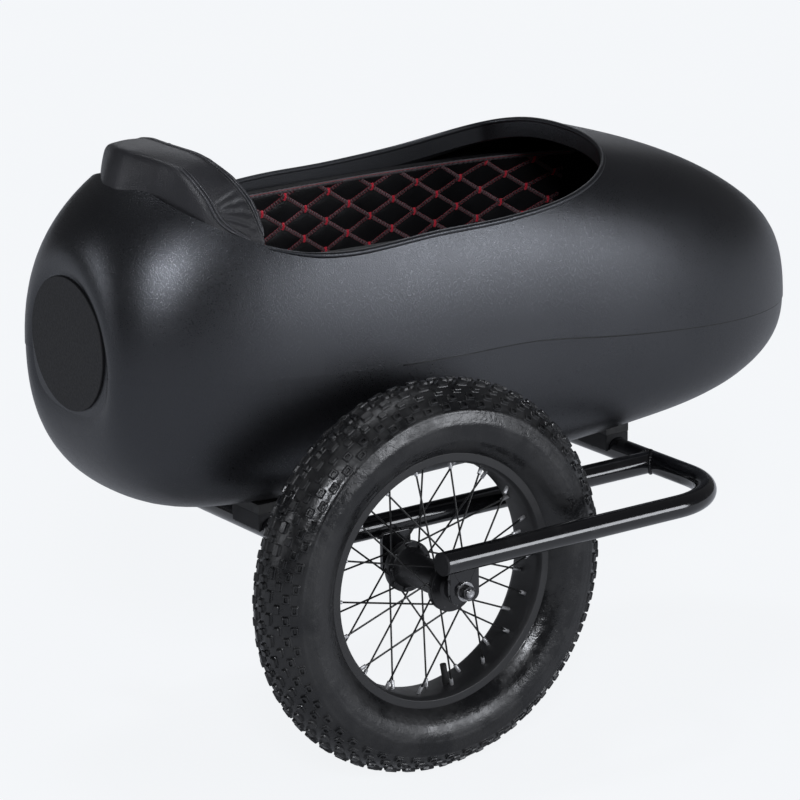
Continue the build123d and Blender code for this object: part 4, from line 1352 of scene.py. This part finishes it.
# ---------------- spoke heads
def spoke_roots():
    """The hub end of every spoke, from the loose parts of the spokes' mesh."""
    work = bmesh.new()
    work.from_mesh(welded_mesh("spokes"))
    work.verts.ensure_lookup_table()
    seen = set()
    found = []
    for first in work.verts:
        if first.index in seen:
            continue
        group = []
        waiting = [first]
        seen.add(first.index)
        while waiting:
            vertex = waiting.pop()
            group.append(vertex.co.copy())
            for edge in vertex.link_edges:
                other = edge.other_vert(vertex)
                if other.index not in seen:
                    seen.add(other.index)
                    waiting.append(other)
        group.sort(key=lambda p: math.hypot(p.x - AXLE.x, p.z - AXLE.z))
        share = max(2, len(group) // 3)
        found.append(sum(group[:share], Vector()) / share)
    work.free()
    return found


def dome(centre, axis, radius, height):
    """A low round head on a face."""
    sides = 12
    one = axis.cross(Vector((0, 0, 1))).normalized()
    two = axis.cross(one)
    points = []
    levels = ((1.0, -0.2), (1.0, 0.25), (0.86, 0.62), (0.55, 0.9), (0.18, 1.0))
    for share, level in levels:
        for turn in turns(sides):
            out = one * math.cos(turn) + two * math.sin(turn)
            points.append(centre + out * radius * share + axis * height * level)
    faces = grid_faces(len(levels), sides, False, True)
    faces.append(last_ring(len(levels), sides))
    return points, faces


def make_spoke_heads():
    """Spoke heads on the flanges: half face out and half face in, as the spokes lead and trail."""
    low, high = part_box("hub_shell")
    radius = (high.z - low.z) / 2 - 4.2 * MM
    flange_half = 4 * MM
    heads = []
    roots = spoke_roots()
    flange_y = np.mean([abs(r.y - AXLE.y) for r in roots])
    for root in roots:
        side = 1 if root.y > AXLE.y else -1
        outwards = 1 if abs(root.y - AXLE.y) < flange_y else -1
        angle = math.atan2(root.z - AXLE.z, root.x - AXLE.x)
        axis = Vector((0, side * outwards, 0))
        centre = about_axle(radius, angle, side * flange_y)
        heads.append(dome(centre + axis * flange_half, axis, 2.4 * MM, 1.5 * MM))
    add_parts("spoke_heads", heads, ZINC_DARK, WHEEL, 50)


make_spoke_heads()


# ---------------- stage, light and camera
FLOOR_GLOW = 0.90
FLOOR_MIRRORED = 0.05     # share of that glow that glossy surfaces see
WORLD_LEVEL = 0.08
WORLD_SHOWN = 0.95        # the backdrop's level as the camera sees it
LAMPS = (
    # name, the way to it, strength, how wide it looks in degrees
    ("near_right_box", (0.50, -0.85, 0.15), 1.25, 28),
    ("near_left_strip", (-0.45, -0.70, 0.55), 1.05, 13),
    ("overhead_strip", (0.10, 0.25, 0.95), 0.50, 12),
    ("rear_box", (-0.90, 0.30, 0.32), 0.35, 20),
    ("far_box", (0.57, 0.82, 0.36), 0.16, 30),
)
CAMERA_PLACE = Vector((-2.6348, -3.7234, 1.5763))       # from the wheel's middle
CAMERA_HEADING = math.radians(34.885)   # the view's turn from straight across, towards the front
CAMERA_DOWN = math.radians(16.546)
CAMERA_ROLL = math.radians(-0.914)


def make_stage():
    """A pale floor that shows near its own colour, with the object's shadow faint on it."""
    bpy.ops.mesh.primitive_circle_add(vertices=96, radius=16.0, fill_type="NGON", location=(0, 0, FLOOR_Z))
    floor = bpy.context.object
    floor.name = "studio_floor"
    s = Shader("floor_paper", (0.88, 0.895, 0.94), 0.9, Specular_IOR_Level=0.1)
    paper = s.mix(s.noise(0.6, 2.0, 0.5), (0.895, 0.912, 0.955), (0.905, 0.922, 0.965))
    s.use(paper, "Base Color")
    shown = s.mix(s.noise(0.6, 2.0, 0.5), (0.955, 0.974, 0.998), (0.965, 0.982, 1.0))
    glow = s.node("ShaderNodeEmission", Color=shown, Strength=1.0)
    rays = s.tree.nodes.new("ShaderNodeLightPath")
    seen = s.math("MAXIMUM", rays.outputs["Is Camera Ray"], rays.outputs["Is Transmission Ray"])
    seen = s.math("MAXIMUM", seen, s.math("MULTIPLY", rays.outputs["Is Glossy Ray"], FLOOR_MIRRORED))
    blend = s.tree.nodes.new("ShaderNodeMixShader")
    s.tree.links.new(s.math("MULTIPLY", seen, FLOOR_GLOW), blend.inputs["Fac"])
    s.tree.links.new(s.base.outputs["BSDF"], blend.inputs[1])
    s.tree.links.new(glow.outputs["Emission"], blend.inputs[2])
    s.tree.links.new(blend.outputs["Shader"], s.tree.nodes["Material Output"].inputs["Surface"])
    floor.data.materials.append(s.material)


def add_sun(name, towards, strength, spread):
    lamp = bpy.data.lights.new(name, "SUN")
    lamp.energy = strength
    lamp.angle = math.radians(spread)
    lamp.color = (0.92, 0.945, 1.0)
    obj = bpy.data.objects.new(name, lamp)
    obj.rotation_euler = Vector(towards).to_track_quat("Z", "Y").to_euler()
    bpy.context.scene.collection.objects.link(obj)


def make_light():
    """Pale surroundings and five soft boxes: two on the wheel's side, one above, one behind, one beyond."""
    world = bpy.data.worlds.new("studio")
    bpy.context.scene.world = world
    world.use_nodes = True
    tree = world.node_tree
    background = tree.nodes["Background"]
    background.inputs["Color"].default_value = (0.93, 0.95, 1.0, 1.0)
    rays = tree.nodes.new("ShaderNodeLightPath")
    level = tree.nodes.new("ShaderNodeMapRange")
    level.inputs["To Min"].default_value = WORLD_LEVEL
    level.inputs["To Max"].default_value = WORLD_SHOWN
    tree.links.new(rays.outputs["Is Camera Ray"], level.inputs["Value"])
    tree.links.new(level.outputs["Result"], background.inputs["Strength"])
    for lamp in LAMPS:
        add_sun(*lamp)


def make_camera():
    """A long lens from the right rear quarter, about 1.8 m over the floor."""
    camera = bpy.data.cameras.new("camera")
    camera.sensor_width = 36.0
    camera.lens = 180.0
    camera.clip_end = 60.0
    obj = bpy.data.objects.new("camera", camera)
    level = Vector((math.cos(CAMERA_HEADING), -math.sin(CAMERA_HEADING), 0))
    ahead = Vector((math.sin(CAMERA_HEADING), math.cos(CAMERA_HEADING), 0))
    forward = ahead * math.cos(CAMERA_DOWN) + DOWN * math.sin(CAMERA_DOWN)
    right = level * math.cos(CAMERA_ROLL) + level.cross(forward) * math.sin(CAMERA_ROLL)
    matrix = Matrix((right, right.cross(forward), -forward)).transposed().to_4x4()
    matrix.translation = AXLE + CAMERA_PLACE
    obj.matrix_world = matrix
    bpy.context.scene.collection.objects.link(obj)
    bpy.context.scene.camera = obj
    bpy.context.scene.view_settings.view_transform = "Standard"


make_stage()
make_light()
make_camera()
